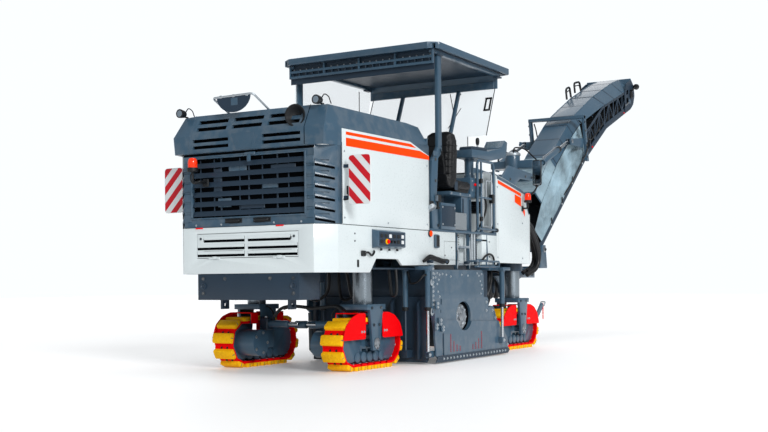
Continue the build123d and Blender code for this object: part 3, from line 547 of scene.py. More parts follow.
def make_tracks():
    """Polyurethane pads bolted to red plates on a steel chain, red guards and yoke fasteners."""
    shoe = track_shoe()
    pitch = (4 * track_half + 2 * math.pi * pin_radius) / shoe_count
    fan = [(0.186, 0.347), (0.186, 0.637), (0.335, 0.637), (0.475, 0.597), (0.597, 0.504), (0.664, 0.347)]
    sheet = 0.0105
    for name, (x, y) in corners.items():
        loop = Shape()
        for i in range(shoe_count):
            px, pz, turn = loop_place((i + 0.5) * pitch)
            loop.moved(shoe, Matrix.Translation((x + px, y, pz)) @ Matrix.Rotation(math.pi - turn, 4, "Y"))
        obj = loop.make("track_shoes_" + name, "track_" + name)
        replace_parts(obj, "track_loop_" + name)

        side = 1 if y > 0 else -1
        away = (0, side, 0)
        outer = y + side * 0.142
        inner = y - side * 0.152
        guard = Shape()
        for way in (-1, 1):
            guard.slab([(x + way * dx, z) for dx, z in fan], "Y", outer, outer + side * sheet, "red", 0.003,
                       0.03)
            guard.box(span(x + way * 0.187, x + way * 0.334), span(inner, outer), (0.626, 0.638), "red",
                      0.003)
            guard.box(span(x + way * 0.197, x + way * 0.323), span(inner, inner - side * sheet),
                      (0.507, 0.632), "red", 0.003)
            guard.bolts([(x + way * dx, outer + side * sheet, 0.43) for dx in (0.225, 0.275)], away, 0.010,
                        "zinc")
        guard.make("track_guards_" + name, "track_" + name)

        yoke = Shape()
        face = y + side * 0.181
        places = [(dx, z) for half, z in ((0.1, 0.69), (0.06, 0.5), (0.04, 0.27)) for dx in (-half, half)]
        yoke.bolts([(x + dx, face, z) for dx, z in places + [(0, 0.24)]], away, 0.013, "dark_steel")
        yoke.lathe([(0.062, 0), (0.062, 0.008), (0.055, 0.012), (0.03, 0.012), (0.026, 0.004)],
                   (x, face, track_mid), away, "steel", 28)
        yoke.make("yoke_fasteners_" + name, "track_" + name)


def make_hood_sides():
    """Stripes, seams and fasteners of the hood's white sides, and the striped boards with their arms."""
    stripes = Shape()
    y = -1.0402
    stripes.strip([((-5.684, y, 2.537), (-5.684, y, 2.570)), ((-4.129, y, 2.549), (-4.251, y, 2.583))],
                  "orange")
    stripes.strip([((-5.684, y, 2.418), (-5.684, y, 2.506)), ((-4.03, y, 2.434), (-4.03, y, 2.523)),
                   ((-3.803, y, 2.437), (-3.803, y, 2.481))], "orange")
    stripes.mirrored()
    stripes.make("hood_stripes", "hood")

    seams = Shape()
    for x in (-5.762, -3.812):
        seams.box(about(x, 0.003), (-1.0405, -1.0365), (1.60, 2.45), "gap_and_painted_shade", 0.001)
    places = ((-5.72, 1.66), (-5.72, 2.36), (-3.86, 1.66), (-3.86, 2.36), (-4.8, 1.64))
    seams.bolts([(x, -body_side, z) for x, z in places], right, 0.008, "zinc")
    seams.mirrored()
    seams.make("hood_fasteners", "hood")

    boards = Shape()
    low, high, foot, head = 1.114, 1.384, 1.792, 2.31
    line = [(-low, foot), (-high, foot), (-high, head), (-low, head)]
    boards.slab(rounded(line, 0.045, 5), "X", -5.7585, -5.741, "board_white", 0.002)
    inside = [(low + 0.005, foot + 0.005), (high - 0.005, foot + 0.005), (high - 0.005, head - 0.005),
              (low + 0.005, head - 0.005)]
    for k in range(-1, 5):
        # the bands fall outwards
        a = 1.81 + k * 0.19
        band = [(low + 0.006, a + 0.27), (low + 0.006, a + 0.365), (high - 0.006, a + 0.095),
                (high - 0.006, a)]
        band = clipped(band, rounded(inside, 0.04))
        if len(band) > 2:
            boards.slab([(-y, z) for y, z in band], "X", -5.7602, -5.7585, "board_red", 0.0005)
    boards.bar([(-5.735, -1.02, 1.85), (-5.735, -1.10, 1.85), (-5.738, -1.10, 1.95)], 0.03, 0.011, "black")
    boards.rod((-5.738, -1.10, 1.90), (-5.738, -1.10, 1.99), 0.02, "black", 12)
    for z in (1.87, 2.2):
        boards.box((-5.741, -5.712), (-1.2, -1.04), about(z, 0.018), "slate_shaded", 0.003)
    boards.mirrored()
    obj = boards.make("marker_boards", "hood")
    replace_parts(obj, "warning_boards")


def make_hood_rear():
    """Grille blades with painted shade and stand-in parts behind them, the frame round them, and the fins at
    the corners with their painted shadows.
    """
    grille = Shape()
    for i in range(6):
        z = 1.716 + i * 0.106
        grille.slab([(-6.024, z), (-6.020, z - 0.001), (-5.997, z + 0.048), (-5.997, z + 0.058),
                     (-6.003, z + 0.056), (-6.024, z + 0.010)], "Y", -0.75, 0.75, "slate_shaded", 0.002)
    for y in (-0.375, 0, 0.375):
        grille.box((-5.996, -5.986), about(y, 0.01), (1.70, 2.35), "slate_shaded", 0.002)
    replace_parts(grille.make("grille_blades", "hood"), "rear_grille")

    back = Shape()
    # near-black sheets behind the blades and in the recesses above them: painted shade; the rods and blocks
    # stand in for the parts inside
    back.box((-5.985, -5.975), about(0, 0.74), (1.70, 2.35), "gap_and_painted_shade")
    back.slab([(-6.018, 2.62), (-5.93, 2.79), (-5.92, 2.785), (-6.005, 2.615)], "Y", -0.72, 0.72, "gap_and_painted_shade",
              0.002)
    back.box((-6.022, -6.014), about(0, 0.74), (2.43, 2.58), "gap_and_painted_shade")
    for y in (-0.52, -0.18, 0.12, 0.47, 0.66):
        back.rod((-5.992, y, 1.71), (-5.992, y, 2.34), 0.008, "slate_shaded", 8)
    blocks = ((0.42, 2.08, 0.05, 0.16), (0.33, 1.86, 0.09, 0.05), (-0.05, 1.83, 0.16, 0.05),
              (-0.28, 2.02, 0.1, 0.03), (-0.45, 2.2, 0.16, 0.04), (0.15, 2.22, 0.12, 0.06))
    for k, (y, z, half_y, half_z) in enumerate(blocks):
        back.box((-5.999, -5.985), about(y, half_y), about(z, half_z), "slate" if k % 2 else "slate_shaded",
                 0.006)
    back.make("vent_painted_shade", "hood")

    # frame round the grille, latch, sill handles and bare trapezoid plate
    trim = Shape()
    for y in (-0.757, 0.757):
        trim.box((-6.042, -6.024), about(y, 0.012), (1.70, 2.352), "slate")
    trim.box((-6.040, -6.026), about(0, 0.769), (2.345, 2.362), "slate")
    trim.box((-6.044, -6.026), about(0, 0.769), (1.684, 1.70), "slate")
    trim.box((-6.058, -6.03), (-0.125, 0.02), (2.352, 2.385), "slate", 0.008)
    trim.box((-6.066, -6.058), (-0.075, -0.025), (2.28, 2.36), "slate", 0.006)
    for y in (0.183, -0.197):
        handle = [(-6.03, y - 0.09), (-6.058, y - 0.09), (-6.058, y + 0.09), (-6.03, y + 0.09)]
        trim.bar([(px, py, 1.655) for px, py in handle], 0.02, 0.009, "black")
        trim.box((-6.034, -6.029), about(y, 0.115), (1.63, 1.68), "black", 0.002)
    plate = [(0.19, 2.598), (-0.18, 2.598), (-0.105, 2.415), (0.12, 2.415)]
    trim.slab(plate, "X", -6.0625, -6.0585, "slate", 0.002, 0.012)
    plate = [(0.135, 2.585), (-0.125, 2.585), (-0.075, 2.43), (0.09, 2.43)]
    trim.slab(plate, "X", -6.0655, -6.0625, "slate", 0.001, 0.008)
    trim.bolts([(-6.03, y, 1.62) for y in (-0.7, -0.35, 0.35, 0.7)], rear, 0.008, "zinc")
    # seam line at each side of the middle panel: near-black on the right and slate on the left; the dark is
    # painted shade
    for y, kind in ((-0.765, "gap_and_painted_shade"), (0.765, "slate")):
        trim.tube([(-6.0595, y, 2.42), (-6.0605, y, 2.598), (-5.934, y, 2.845)], 0.0035, kind, 6)
    # near-black strip under the cap's lower edge: painted shadow of the overhang
    trim.box((-6.0325, -6.029), about(0, 0.868), (2.380, 2.406), "gap_and_painted_shade", 0)
    trim.make("rear_trim", "hood")

    fins = Shape()
    facet = Vector((0.18, -0.174, 0)).normalized()
    out = Vector((facet.y, -facet.x, 0))
    root = Vector((-6.026, -0.868, 0))
    fall = -0.16
    for k in range(6):
        z = 1.655 + k * 0.113
        ends = [root + facet * along + out * 0.002 + Vector((0, 0, z + fall * along)) for along in (0, 0.215)]
        # near-black strip under each fin: painted shadow of the fin
        fins.strip([(p - Vector((0, 0, 0.026)), p - Vector((0, 0, 0.004))) for p in ends], "gap_and_painted_shade", 0.003)
        rings = []
        for along, proud, high in ((0, 0.014, 0.055), (0.06, 0.019, 0.05), (0.225, 0.003, 0.012)):
            profile = ((0, -0.004), (0, proud), (high * 0.55, proud * 0.85), (high, -0.004))
            rings.append([root + facet * along + out * depth + Vector((0, 0, z + fall * along + lift))
                          for lift, depth in profile])
        fins.rings(rings, "slate")
        fins.box((-6.037, -6.028), (-0.866, -0.762), (z, z + 0.085), "slate")
    fins.mirrored()
    fins.make("corner_fins", "hood")


def add_beacon(shape, x, y, foot, top):
    """Black foot and amber dome, from their pairs of radius and height."""
    shape.lathe(foot, (x, y, 0), up, "black", 32)
    shape.lathe(top, (x, y, 0), up, "amber", 32)


def make_hood_lights():
    """Work lamps, beacon, disc on its bent tube and horn."""
    lamps = Shape()
    for y in (-0.88, 0.94):
        at = (-5.925, y, 2.88)
        lamps.lathe([(0.02, 0), (0.036, 0.004), (0.044, 0.03), (0.049, 0.07), (0.050, 0.088), (0.046, 0.09)],
                    at, rear, "black", 28)
        lamps.lathe([(0.045, 0.082), (0.045, 0.087), (0.034, 0.0905), (0.02, 0.092)], at, rear, "lens", 28)
        lamps.box((-5.935, -5.870), about(y, 0.014), (2.8435, 2.857), "black", 0.003)
        lamps.box((-5.940, -5.918), about(y, 0.014), (2.8435, 2.89), "black", 0.003)
        lamps.hose([(-5.92, y - 0.01, 2.90), (-5.90, y - 0.035, 2.945), (-5.885, y - 0.075, 2.92),
                    (-5.87, y - 0.09, 2.868), (-5.86, y - 0.092, 2.846)], 0.006, 8)
    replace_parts(lamps.make("work_lamps", "hood"), "hood_lamps")

    x, y = -6.15, 0.645
    beacon = Shape()
    add_beacon(beacon, x, y, [(0.03, 2.198), (0.06, 2.202), (0.0615, 2.215), (0.0615, 2.238), (0.054, 2.245)],
               [(0.052, 2.243), (0.0525, 2.30), (0.048, 2.33), (0.036, 2.348), (0.015, 2.3545)])
    beacon.rod((x, y, 2.085), (x, y, 2.2), 0.0135, "black")
    beacon.bar([(x, y, 2.078), (x, y - 0.09, 2.09), (-6.024, y - 0.09, 2.09)], 0.03, 0.0135, "black")
    beacon.box((-6.046, -6.024), (y - 0.13, y - 0.05), (2.04, 2.125), "black", 0.005)
    beacon.hose([(x, y + 0.012, 2.2), (x - 0.005, y + 0.028, 2.14), (x + 0.01, y + 0.012, 2.08),
                 (x + 0.06, y - 0.06, 2.07), (-6.03, y - 0.08, 2.075)], 0.005, 8)
    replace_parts(beacon.make("rear_beacon", "hood"), "beacon")

    hoop = Shape()
    hoop.bar([(-5.84, -0.175, 2.843), (-6.048, -0.10, 3.010), (-6.048, 0.44, 3.000), (-5.84, 0.36, 2.843)],
             0.04, 0.0118, "zinc", 12)
    hoop.slab(oval(0.156, 3.004, 0.228, 0.179, 24, 49, 48), "X", -6.0515, -6.0445, "slate_shaded", 0.002)
    hoop.box((-6.0535, -6.0515), (0.10, 0.19), (2.90, 2.98), "slate", 0.001)
    for y in (-0.02, 0.156, 0.33):
        hoop.box((-6.0535, -6.038), about(y, 0.018), (2.985, 3.02), "zinc")
    for y in (-0.175, 0.36):
        hoop.lathe([(0.03, 0), (0.03, 0.006), (0.016, 0.01), (0.014, 0.02)], (-5.838, y, 2.8405), up, "zinc",
                   16)
    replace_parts(hoop.make("signal_disc", "hood"), "signal_hoop")

    horn = Shape()
    bell = [(0.03, -0.05), (0.05, 0), (0.08, 0.045), (0.112, 0.078), (0.118, 0.088), (0.118, 0.096),
            (0.106, 0.094), (0.08, 0.06), (0.05, 0.02), (0.02, 0)]
    horn.lathe(bell, (-5.955, -0.63, 2.73), (-1, -0.12, 0), "black", 40)
    horn.make("rear_horn", "hood")


def make_body_details():
    """Control box face, hatch fittings, seams, reflectors and bolts of the lower body and rear beam."""
    box = Shape()
    y = -1.115
    box.box((-5.13, -4.565), (y - 0.006, y), (1.378, 1.532), "slate_shaded", 0.003)
    for z, places in ((1.487, range(6)), (1.425, (0, 4, 5))):
        for k in places:
            kind = "board_white" if k % 3 == 2 else "black"
            box.box(about(-5.085 + k * 0.093, 0.026), (y - 0.014, y - 0.005), about(z, 0.02), kind, 0.003)
    knobs = ((-4.975, [(0.03, 0), (0.03, 0.012), (0.025, 0.016)], "pad", 24),
             (-4.975, [(0.02, 0.012), (0.023, 0.03), (0.018, 0.034)], "red", 24),
             (-4.87, [(0.016, 0), (0.016, 0.018), (0.013, 0.02)], "black", 20),
             (-4.80, [(0.016, 0), (0.016, 0.018), (0.013, 0.02)], "black", 20))
    for x, profile, kind, sides in knobs:
        box.lathe(profile, (x, y - 0.005, 1.425), right, kind, sides)
    for x in (-5.02, -4.84, -4.66):
        box.rod((x, -1.075, 1.352), (x, -1.075, 1.325), 0.014, "black", 12)
    box.make("control_panel", "machine")

    hatch = Shape()
    for z0, z1, wide in ((1.269, 1.330, 0.665), (1.344, 1.402, 0.665), (1.427, 1.490, 0.576)):
        # near-black strip in each slot behind its blade: painted shade inside the slot
        hatch.box((-6.0512, -6.0504), (-wide, -0.022), (z0, z1), "gap_and_painted_shade", 0)
        hatch.slab([(-6.0512, z0 + 0.027), (-6.058, z0 + 0.029), (-6.055, z1), (-6.0512, z1)], "Y",
                   0.003 - wide, -0.025, "white", 0.001)
    hatch.lathe([(0.014, 0), (0.014, 0.004), (0.01, 0.005)], (-6.051, -0.62, 1.468), rear, "dark_steel", 20)
    hatch.mirrored()
    hatch.make("hatch_blades", "rear_hatch")

    # seam below the hood, door and slot in the side, reflectors
    body = Shape()
    for x0, x1, z0, z1 in ((-3.42, -3.02, 1.244, 1.248), (-3.42, -3.02, 1.473, 1.477),
                           (-3.42, -3.416, 1.244, 1.477), (-5.80, -3.30, 1.5855, 1.5875)):
        body.box((x0, x1), (-1.0405, -1.038), (z0, z1), "gap_and_painted_shade", 0.0008)
    at = (-3.80, -body_side, 1.555)
    body.lathe([(0.042, 0), (0.042, 0.012), (0.036, 0.018)], at, right, "black", 28)
    body.lathe([(0.036, 0.012), (0.036, 0.022), (0.02, 0.028)], at, right, "orange", 28)
    places = ((-3.22, 1.40), (-3.06, 1.36), (-3.4, 1.3), (-5.52, 1.50), (-5.52, 1.42), (-2.1, 1.5),
              (-2.1, 1.3))
    body.bolts([(x, -body_side, z) for x, z in places], right, 0.007, "dark_steel")
    body.box((-3.70, -3.60), (-1.075, -1.04), (1.386, 1.548), "slate", 0.008)
    body.box((-3.69, -3.61), (-1.079, -1.074), (1.40, 1.535), "black", 0.003)
    body.mirrored()
    for y in (0.64, -0.44):
        body.box((-6.056, -6.045), about(y, 0.05), (1.578, 1.592), "red", 0.002)
    body.tube(flowing([(-5.35, -1.041, 1.29), (-5.30, -1.075, 1.30), (-5.22, -1.07, 1.27),
                       (-5.16, -1.065, 1.30), (-5.12, -1.041, 1.32)]), 0.012, "black")
    body.box((-5.40, -5.32), (-1.062, -1.04), (1.26, 1.32), "black", 0.005)
    body.box((-5.48, -5.44), (-1.046, -1.04), (1.14, 1.22), "black")
    body.make("body_fittings", "machine")

    beam = Shape()
    beam.bolts([(-6.04, y, z) for y, z in ((-0.6, 1.03), (-0.3, 1.03), (-0.6, 0.87))], rear, 0.014,
               "dark_steel")
    beam.lathe([(0.04, 0), (0.04, 0.01), (0.03, 0.012), (0.02, 0.002)], (-6.039, -0.6, 0.95), rear,
               "slate_shaded", 20)
    beam.mirrored()
    beam.make("beam_fasteners", "machine")


def make_side_plate():
    """Right side plate with its shoe, round opening, bolts, slots, depth marks and chrome rods."""
    y = plate_y
    foot = y - 0.02
    inside = y + 0.03
    cap = foot - 0.012
    plate = Shape()
    slots = [rounded([(x, z0), (x + w, z0), (x + w, z1), (x, z1)], w * 0.45)
             for x, z0, z1, w in ((-3.772, 0.70, 0.775, 0.030), (-3.778, 0.60, 0.645, 0.020))]
    upper = [(-3.99, 1.12), (-2.60, 1.12), (-2.55, 1.07), (-2.55, 0.78), (-2.43, 0.765), (-2.41, 0.74),
             (-2.41, 0.63), (-2.34, 0.66), (-2.25, 0.645), (-2.20, 0.56), (-2.13, 0.44), (-2.3, 0.3),
             (-3.9, 0.3), (-3.98, 0.62)]
    opening = (-3.15, 0.55, 0.205, 0.18)
    plate.pierced(upper, [oval(*opening, 0, 48, 48)] + slots, "Y", y, inside, "slate")
    lower = [(-3.965, 0.60), (-3.84, 0.585), (-3.80, 0.515), (-3.40, 0.505)] + oval(*opening, 27, 46, 48)
    lower += [(-2.135, 0.455), (-1.93, 0.18), (-1.79, 0.062), (-1.845, 0.014), (-3.80, 0.012), (-3.93, 0.10),
              (-3.96, 0.30)]
    slot = rounded([(-3.77, 0.075), (-3.725, 0.075), (-3.725, 0.36), (-3.77, 0.36)], 0.018)
    plate.pierced(lower, [slot], "Y", foot, y + 0.002, "slate")
    plate.slab([(-4.02, 1.18), (-3.955, 1.18), (-3.955, 0.66), (-4.02, 0.66)], "Y", y - 0.012, inside,
               "slate", 0.003)
    plate.slab([(-3.96, 0.018), (-3.80, 0.016), (-1.86, 0.016), (-1.80, 0.06), (-1.87, 0.092),
                (-3.90, 0.092)], "Y",
               cap, foot, "slate_shaded", 0.003)
    plate.bolts([(-3.985, y - 0.012, 1.13 - k * 0.053) for k in range(9)], right, 0.012, "zinc")
    plate.bolts([(-3.76 + k * 0.09, cap, 0.056) for k in range(21)], right, 0.011, "zinc")
    rim = ((-3.93, 1.07), (-3.90, 1.03), (-3.86, 1.08), (-3.80, 1.06), (-3.82, 1.0), (-3.86, 0.95),
           (-3.72, 1.07), (-3.62, 1.06), (-3.50, 1.04), (-3.2, 1.06), (-3.02, 1.05), (-2.75, 1.08),
           (-2.70, 1.05), (-2.62, 1.07), (-2.66, 0.98), (-2.62, 0.93), (-2.60, 0.88), (-2.64, 0.82),
           (-3.84, 0.86), (-3.80, 0.80))
    plate.bolts([(x, y, z) for x, z in rim], right, 0.010, "zinc")
    lobes = ((-2.48, 0.71), (-2.48, 0.60), (-2.29, 0.60), (-2.2, 0.50), (-2.03, 0.36), (-1.86, 0.13))
    plate.bolts([(x, y if z > 0.45 else foot, z) for x, z in lobes], right, 0.014, "zinc")
    # hub seen through the opening, and the ring of bolts on it
    hub_x, hub_z = -3.21, 0.54
    # near-black disc behind the opening: painted shade inside it
    plate.lathe([(0.21, 0), (0.21, 0.003), (0.02, 0.003)], (-3.15, -1.1275, 0.55), right, "gap_and_painted_shade", 40)
    plate.lathe([(0.155, 0), (0.155, 0.022), (0.145, 0.028), (0.112, 0.028), (0.105, 0.012), (0.05, 0.012),
                 (0.045, 0.03), (0.03, 0.034)], (hub_x, -1.1305, hub_z), right, "steel", 40)
    ring = oval(hub_x, hub_z, 0.128, 0.128, 0, 9, 9)
    plate.bolts([(p.x, -1.158, p.y) for p in ring], right, 0.012, "zinc")
    # stops and hooks at the rear edge
    for x, z, w, h in ((-3.86, 0.50, 0.035, 0.05), (-3.80, 0.42, 0.03, 0.04), (-3.94, 0.70, 0.03, 0.05),
                       (-3.96, 0.45, 0.03, 0.045)):
        plate.box(about(x, w), (foot - 0.03, foot), about(z, h), "slate", 0.008)
        plate.bolts([(x, foot - 0.03, z + 0.4 * h)], right, 0.014, "zinc")
        plate.bolts([(x, foot - 0.03, z - 0.5 * h)], right, 0.012, "zinc")
    for z0, z1 in ((1.0, 0.93), (0.66, 0.58)):
        plate.bar([(-4.03, y - 0.014, z0), (-4.055, y - 0.016, (z0 + z1) / 2), (-4.03, y - 0.016, z1),
                   (-4.0, y - 0.016, z1 + 0.02)], 0.02, 0.009, "zinc", 8)
    # depth marks: height of each
    for group, marks in ((-3.55, (0.22, 0.15, 0.09, 0.08)), (-2.93, (0.08, 0.09, 0.15, 0.23))):
        for k, high in enumerate(marks):
            for n in range(int(high / 0.022)):
                low = 0.125 + n * 0.022
                plate.box(about(group + k * 0.085, 0.010), (foot - 0.003, foot), (low, low + 0.015),
                          "red_dark", 0.0008)
    # rods of the two rams, with the lug that each one holds
    for (x, ry, z), lug_x, lug_y in (((-4.075, -1.15, 0.12), (-4.105, -3.90), (-1.15, inside)),
                                     ((-2.1, -1.22, 0.2), (-2.14, -2.06), (-1.245, foot))):
        plate.rod((x, ry, z), (x, ry, 0.758), 0.0186, "chrome", 24)
        plate.lathe([(0.038, -0.024), (0.038, 0.024), (0.02, 0.026)], (x, ry, z), (0, 1, 0), "slate_shaded", 24)
        plate.bolts([(x, ry - 0.022, z)], right, 0.016, "zinc")
        plate.box(lug_x, lug_y, about(z, 0.04), "slate", 0.006)
    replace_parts(plate.make("side_plate_panel", "side_plate_right"), "side_plate_right")


def make_ram_fittings():
    """Ram heads, hoses, clamps and step bars between the side plate and the body."""
    mounts = Shape()
    for x, ry in ((-4.075, -1.15), (-2.1, -1.22), (-4.095, -0.86), (-4.095, 0.3)):
        mounts.lathe([(0.0335, 0.66), (0.0335, 1.10), (0.04, 1.105), (0.04, 1.118)], (x, ry, 0), up, "slate",
                     24)
        mounts.lathe([(0.021, 0.635), (0.037, 0.637), (0.039, 0.645), (0.039, 0.675), (0.034, 0.68)],
                     (x, ry, 0), up, "black", 24)
    mounts.hose([(-4.11, -1.15, 1.06), (-4.16, -1.13, 1.04), (-4.18, -1.08, 0.98), (-4.17, -0.98, 0.96),
                 (-4.12, -0.93, 1.02), (-4.1, -0.9, 1.1)], 0.013)
    mounts.hose([(-2.1, -1.185, 1.06), (-2.03, -1.17, 1.08), (-1.98, -1.10, 1.10), (-1.97, -1.0, 1.12),
                 (-1.95, -0.9, 1.18)], 0.012)
    for rise in (0, 0.03):
        mounts.hose([(-4.0, -1.06, 1.22), (-3.9, -1.09, 1.255 + rise), (-3.72, -1.085, 1.235 + rise),
                     (-3.55, -1.09, 1.21 + rise), (-3.40, -1.08, 1.235), (-3.36, -1.05, 1.205)], 0.017)
    for x in (-3.86, -3.48, -2.86):
        mounts.box(about(x, 0.03), (-1.11, -1.042), (1.20, 1.235), "slate_shaded", 0.008)
    for y, z, bend in ((-1.06, 1.235, 0.05), (-1.16, 1.165, 0.04)):
        mounts.bar([(-2.80, y, z), (-2.80, -1.21, z), (-2.14, -1.21, z), (-2.14, y, z)], bend, 0.012, "slate")
    for x in (-2.78, -2.56, -2.35, -2.16):
        mounts.rod((x, -1.21, 1.165), (x, -1.21, 1.235), 0.009, "slate", 10)
    mounts.hose([(-2.36, -1.05, 1.24), (-2.28, -1.07, 1.31), (-2.16, -1.075, 1.335), (-2.04, -1.07, 1.30),
                 (-1.97, -1.055, 1.21)], 0.014)
    # hoses and their plate between the drum housing and the front leg
    mounts.box((-2.345, -2.03), (-0.93, -0.918), (0.62, 1.118), "slate_shaded", 0.003)
    for y, low, gap in ((-1.02, 0.86, 0), (-0.99, 0.66, 0.03)):
        mounts.hose([(-2.345, y, low), (-2.22, y - 0.01, low - 0.03), (-2.10 + gap, y + 0.01, low + 0.05),
                     (-2.03 + gap, y + 0.02, low + 0.17), (-2.0 + gap, y + 0.04, 1.12)], 0.045, 14)
    for k in range(4):
        mounts.rod((-2.345, -0.98, 0.95 + k * 0.04), (-2.06, -0.98, 0.97 + k * 0.04), 0.018, "black", 10)
    for x in (-0.16, 0.06, 0.28):
        mounts.hose([(x, -0.12, 1.13), (x + 0.01, -0.12, 0.88), (x + 0.08, -0.12, 0.76),
                     (x + 0.15, -0.12, 0.88), (x + 0.16, -0.12, 1.13)], 0.055, 14)
        mounts.tube([(x + 0.08, -0.16, 1.13), (x + 0.08, -0.16, 0.80)], 0.04, "slate_shaded", 10)
    mounts.make("ram_fittings", "machine")


voxel_quick, voxel_full = 0.012, 0.006
cover_pressure = 4
swell_frames = 20


def apply_modifier(obj, modifier):
    bpy.context.view_layer.objects.active = obj
    with bpy.context.temp_override(object=obj, active_object=obj, selected_objects=[obj]):
        bpy.ops.object.modifier_apply(modifier=modifier.name)


def inflate(obj, limit):
    """Swells a closed mesh like a stuffed cover, each point by no more than a limit."""
    remesh = obj.modifiers.new("remesh", "REMESH")
    remesh.mode = "VOXEL"
    remesh.voxel_size = voxel_full
    apply_modifier(obj, remesh)
    before = [v.co.copy() for v in obj.data.vertices]
    cloth = obj.modifiers.new("cloth", "CLOTH")
    cloth.settings.use_pressure = True
    cloth.settings.uniform_pressure_force = cover_pressure
    cloth.settings.effector_weights.gravity = 0
    cloth.settings.quality = 5
    scene = bpy.context.scene
    for number in range(1, swell_frames + 1):
        scene.frame_set(number)
    swollen = obj.evaluated_get(bpy.context.evaluated_depsgraph_get()).data
    places = [v.co.copy() for v in swollen.vertices]
    obj.modifiers.remove(cloth)
    scene.frame_set(1)
    for vert, old, new in zip(obj.data.vertices, before, places):
        step = new - old
        vert.co = old + step * min(1, limit / max(step.length, 1e-6))


def cushion(name, rings, kind, limit, body):
    """Padded piece swollen from a closed stack of outlines."""
    shape = Shape()
    shape.rings(rings, kind)
    obj = shape.make(name, body)
    inflate(obj, limit)
    obj.data.polygons.foreach_set("use_smooth", [True] * len(obj.data.polygons))
    soften = obj.modifiers.new("soften", "SUBSURF")
    soften.levels = soften.render_levels = 1
    return obj


def oblong(x, y, radius, z):
    """Rounded rectangle at a height."""
    return [(px, py, z) for px, py in rounded([(x[0], y[0]), (x[1], y[0]), (x[1], y[1]), (x[0], y[1])],
                                              radius, 4)]


def make_seat():
    """Padded seat with piped seams on a bellows base."""
    low, high = -1.028, -0.607
    rings = [oblong((x0, x1), (low + narrow, high - narrow), radius, z)
             for z, x0, x1, narrow, radius in ((2.152, -2.99, -2.585, 0.015, 0.06),
                                               (2.175, -3.0, -2.57, 0.005, 0.07),
                                               (2.225, -3.0, -2.565, 0.005, 0.07),
                                               (2.25, -2.985, -2.59, 0.02, 0.06))]
    base = cushion("seat_cushion", rings, "vinyl", 0.012, "machine")
    rings = [oblong((x0, x1), (low + narrow, high - narrow), 0.055, z)
             for z, x0, x1, narrow in ((2.16, -3.175, -3.0, 0.01), (2.26, -3.185, -2.98, 0.001),
                                       (2.45, -3.18, -2.965, 0.001), (2.62, -3.165, -2.955, 0.001),
                                       (2.76, -3.14, -2.955, 0.01), (2.84, -3.12, -2.965, 0.035),
                                       (2.875, -3.095, -2.99, 0.085))]
    back = cushion("seat_back", rings, "vinyl", 0.010, "machine")
    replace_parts(base, "seat")
    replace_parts(back, "seat")
    trim = Shape()
    for z, x0, x1 in ((2.33, -3.19, -3.005), (2.42, -3.19, -2.995), (2.51, -3.185, -2.985),
                      (2.60, -3.175, -2.975), (2.69, -3.165, -2.965)):
        line = oblong((x0 - 0.002, x1 + 0.002), (low + 0.002, high - 0.002), 0.06, z)
        trim.tube(line + line[:1], 0.004, "black", 6)
    for z, grow in ((2.117, 0), (2.134, 0.012)):
        line = oblong((-2.96 - grow, -2.61 + grow), (-1.0, -0.64), 0.05, 0)
        trim.slab([p[:2] for p in line], "Z", z, z + 0.016, "black")
    for y in ((low - 0.001, low + 0.011), (high - 0.011, high + 0.001)):
        trim.box((-3.08, -3.0), y, (2.13, 2.24), "slate_shaded")
    trim.make("seat_trim", "machine")


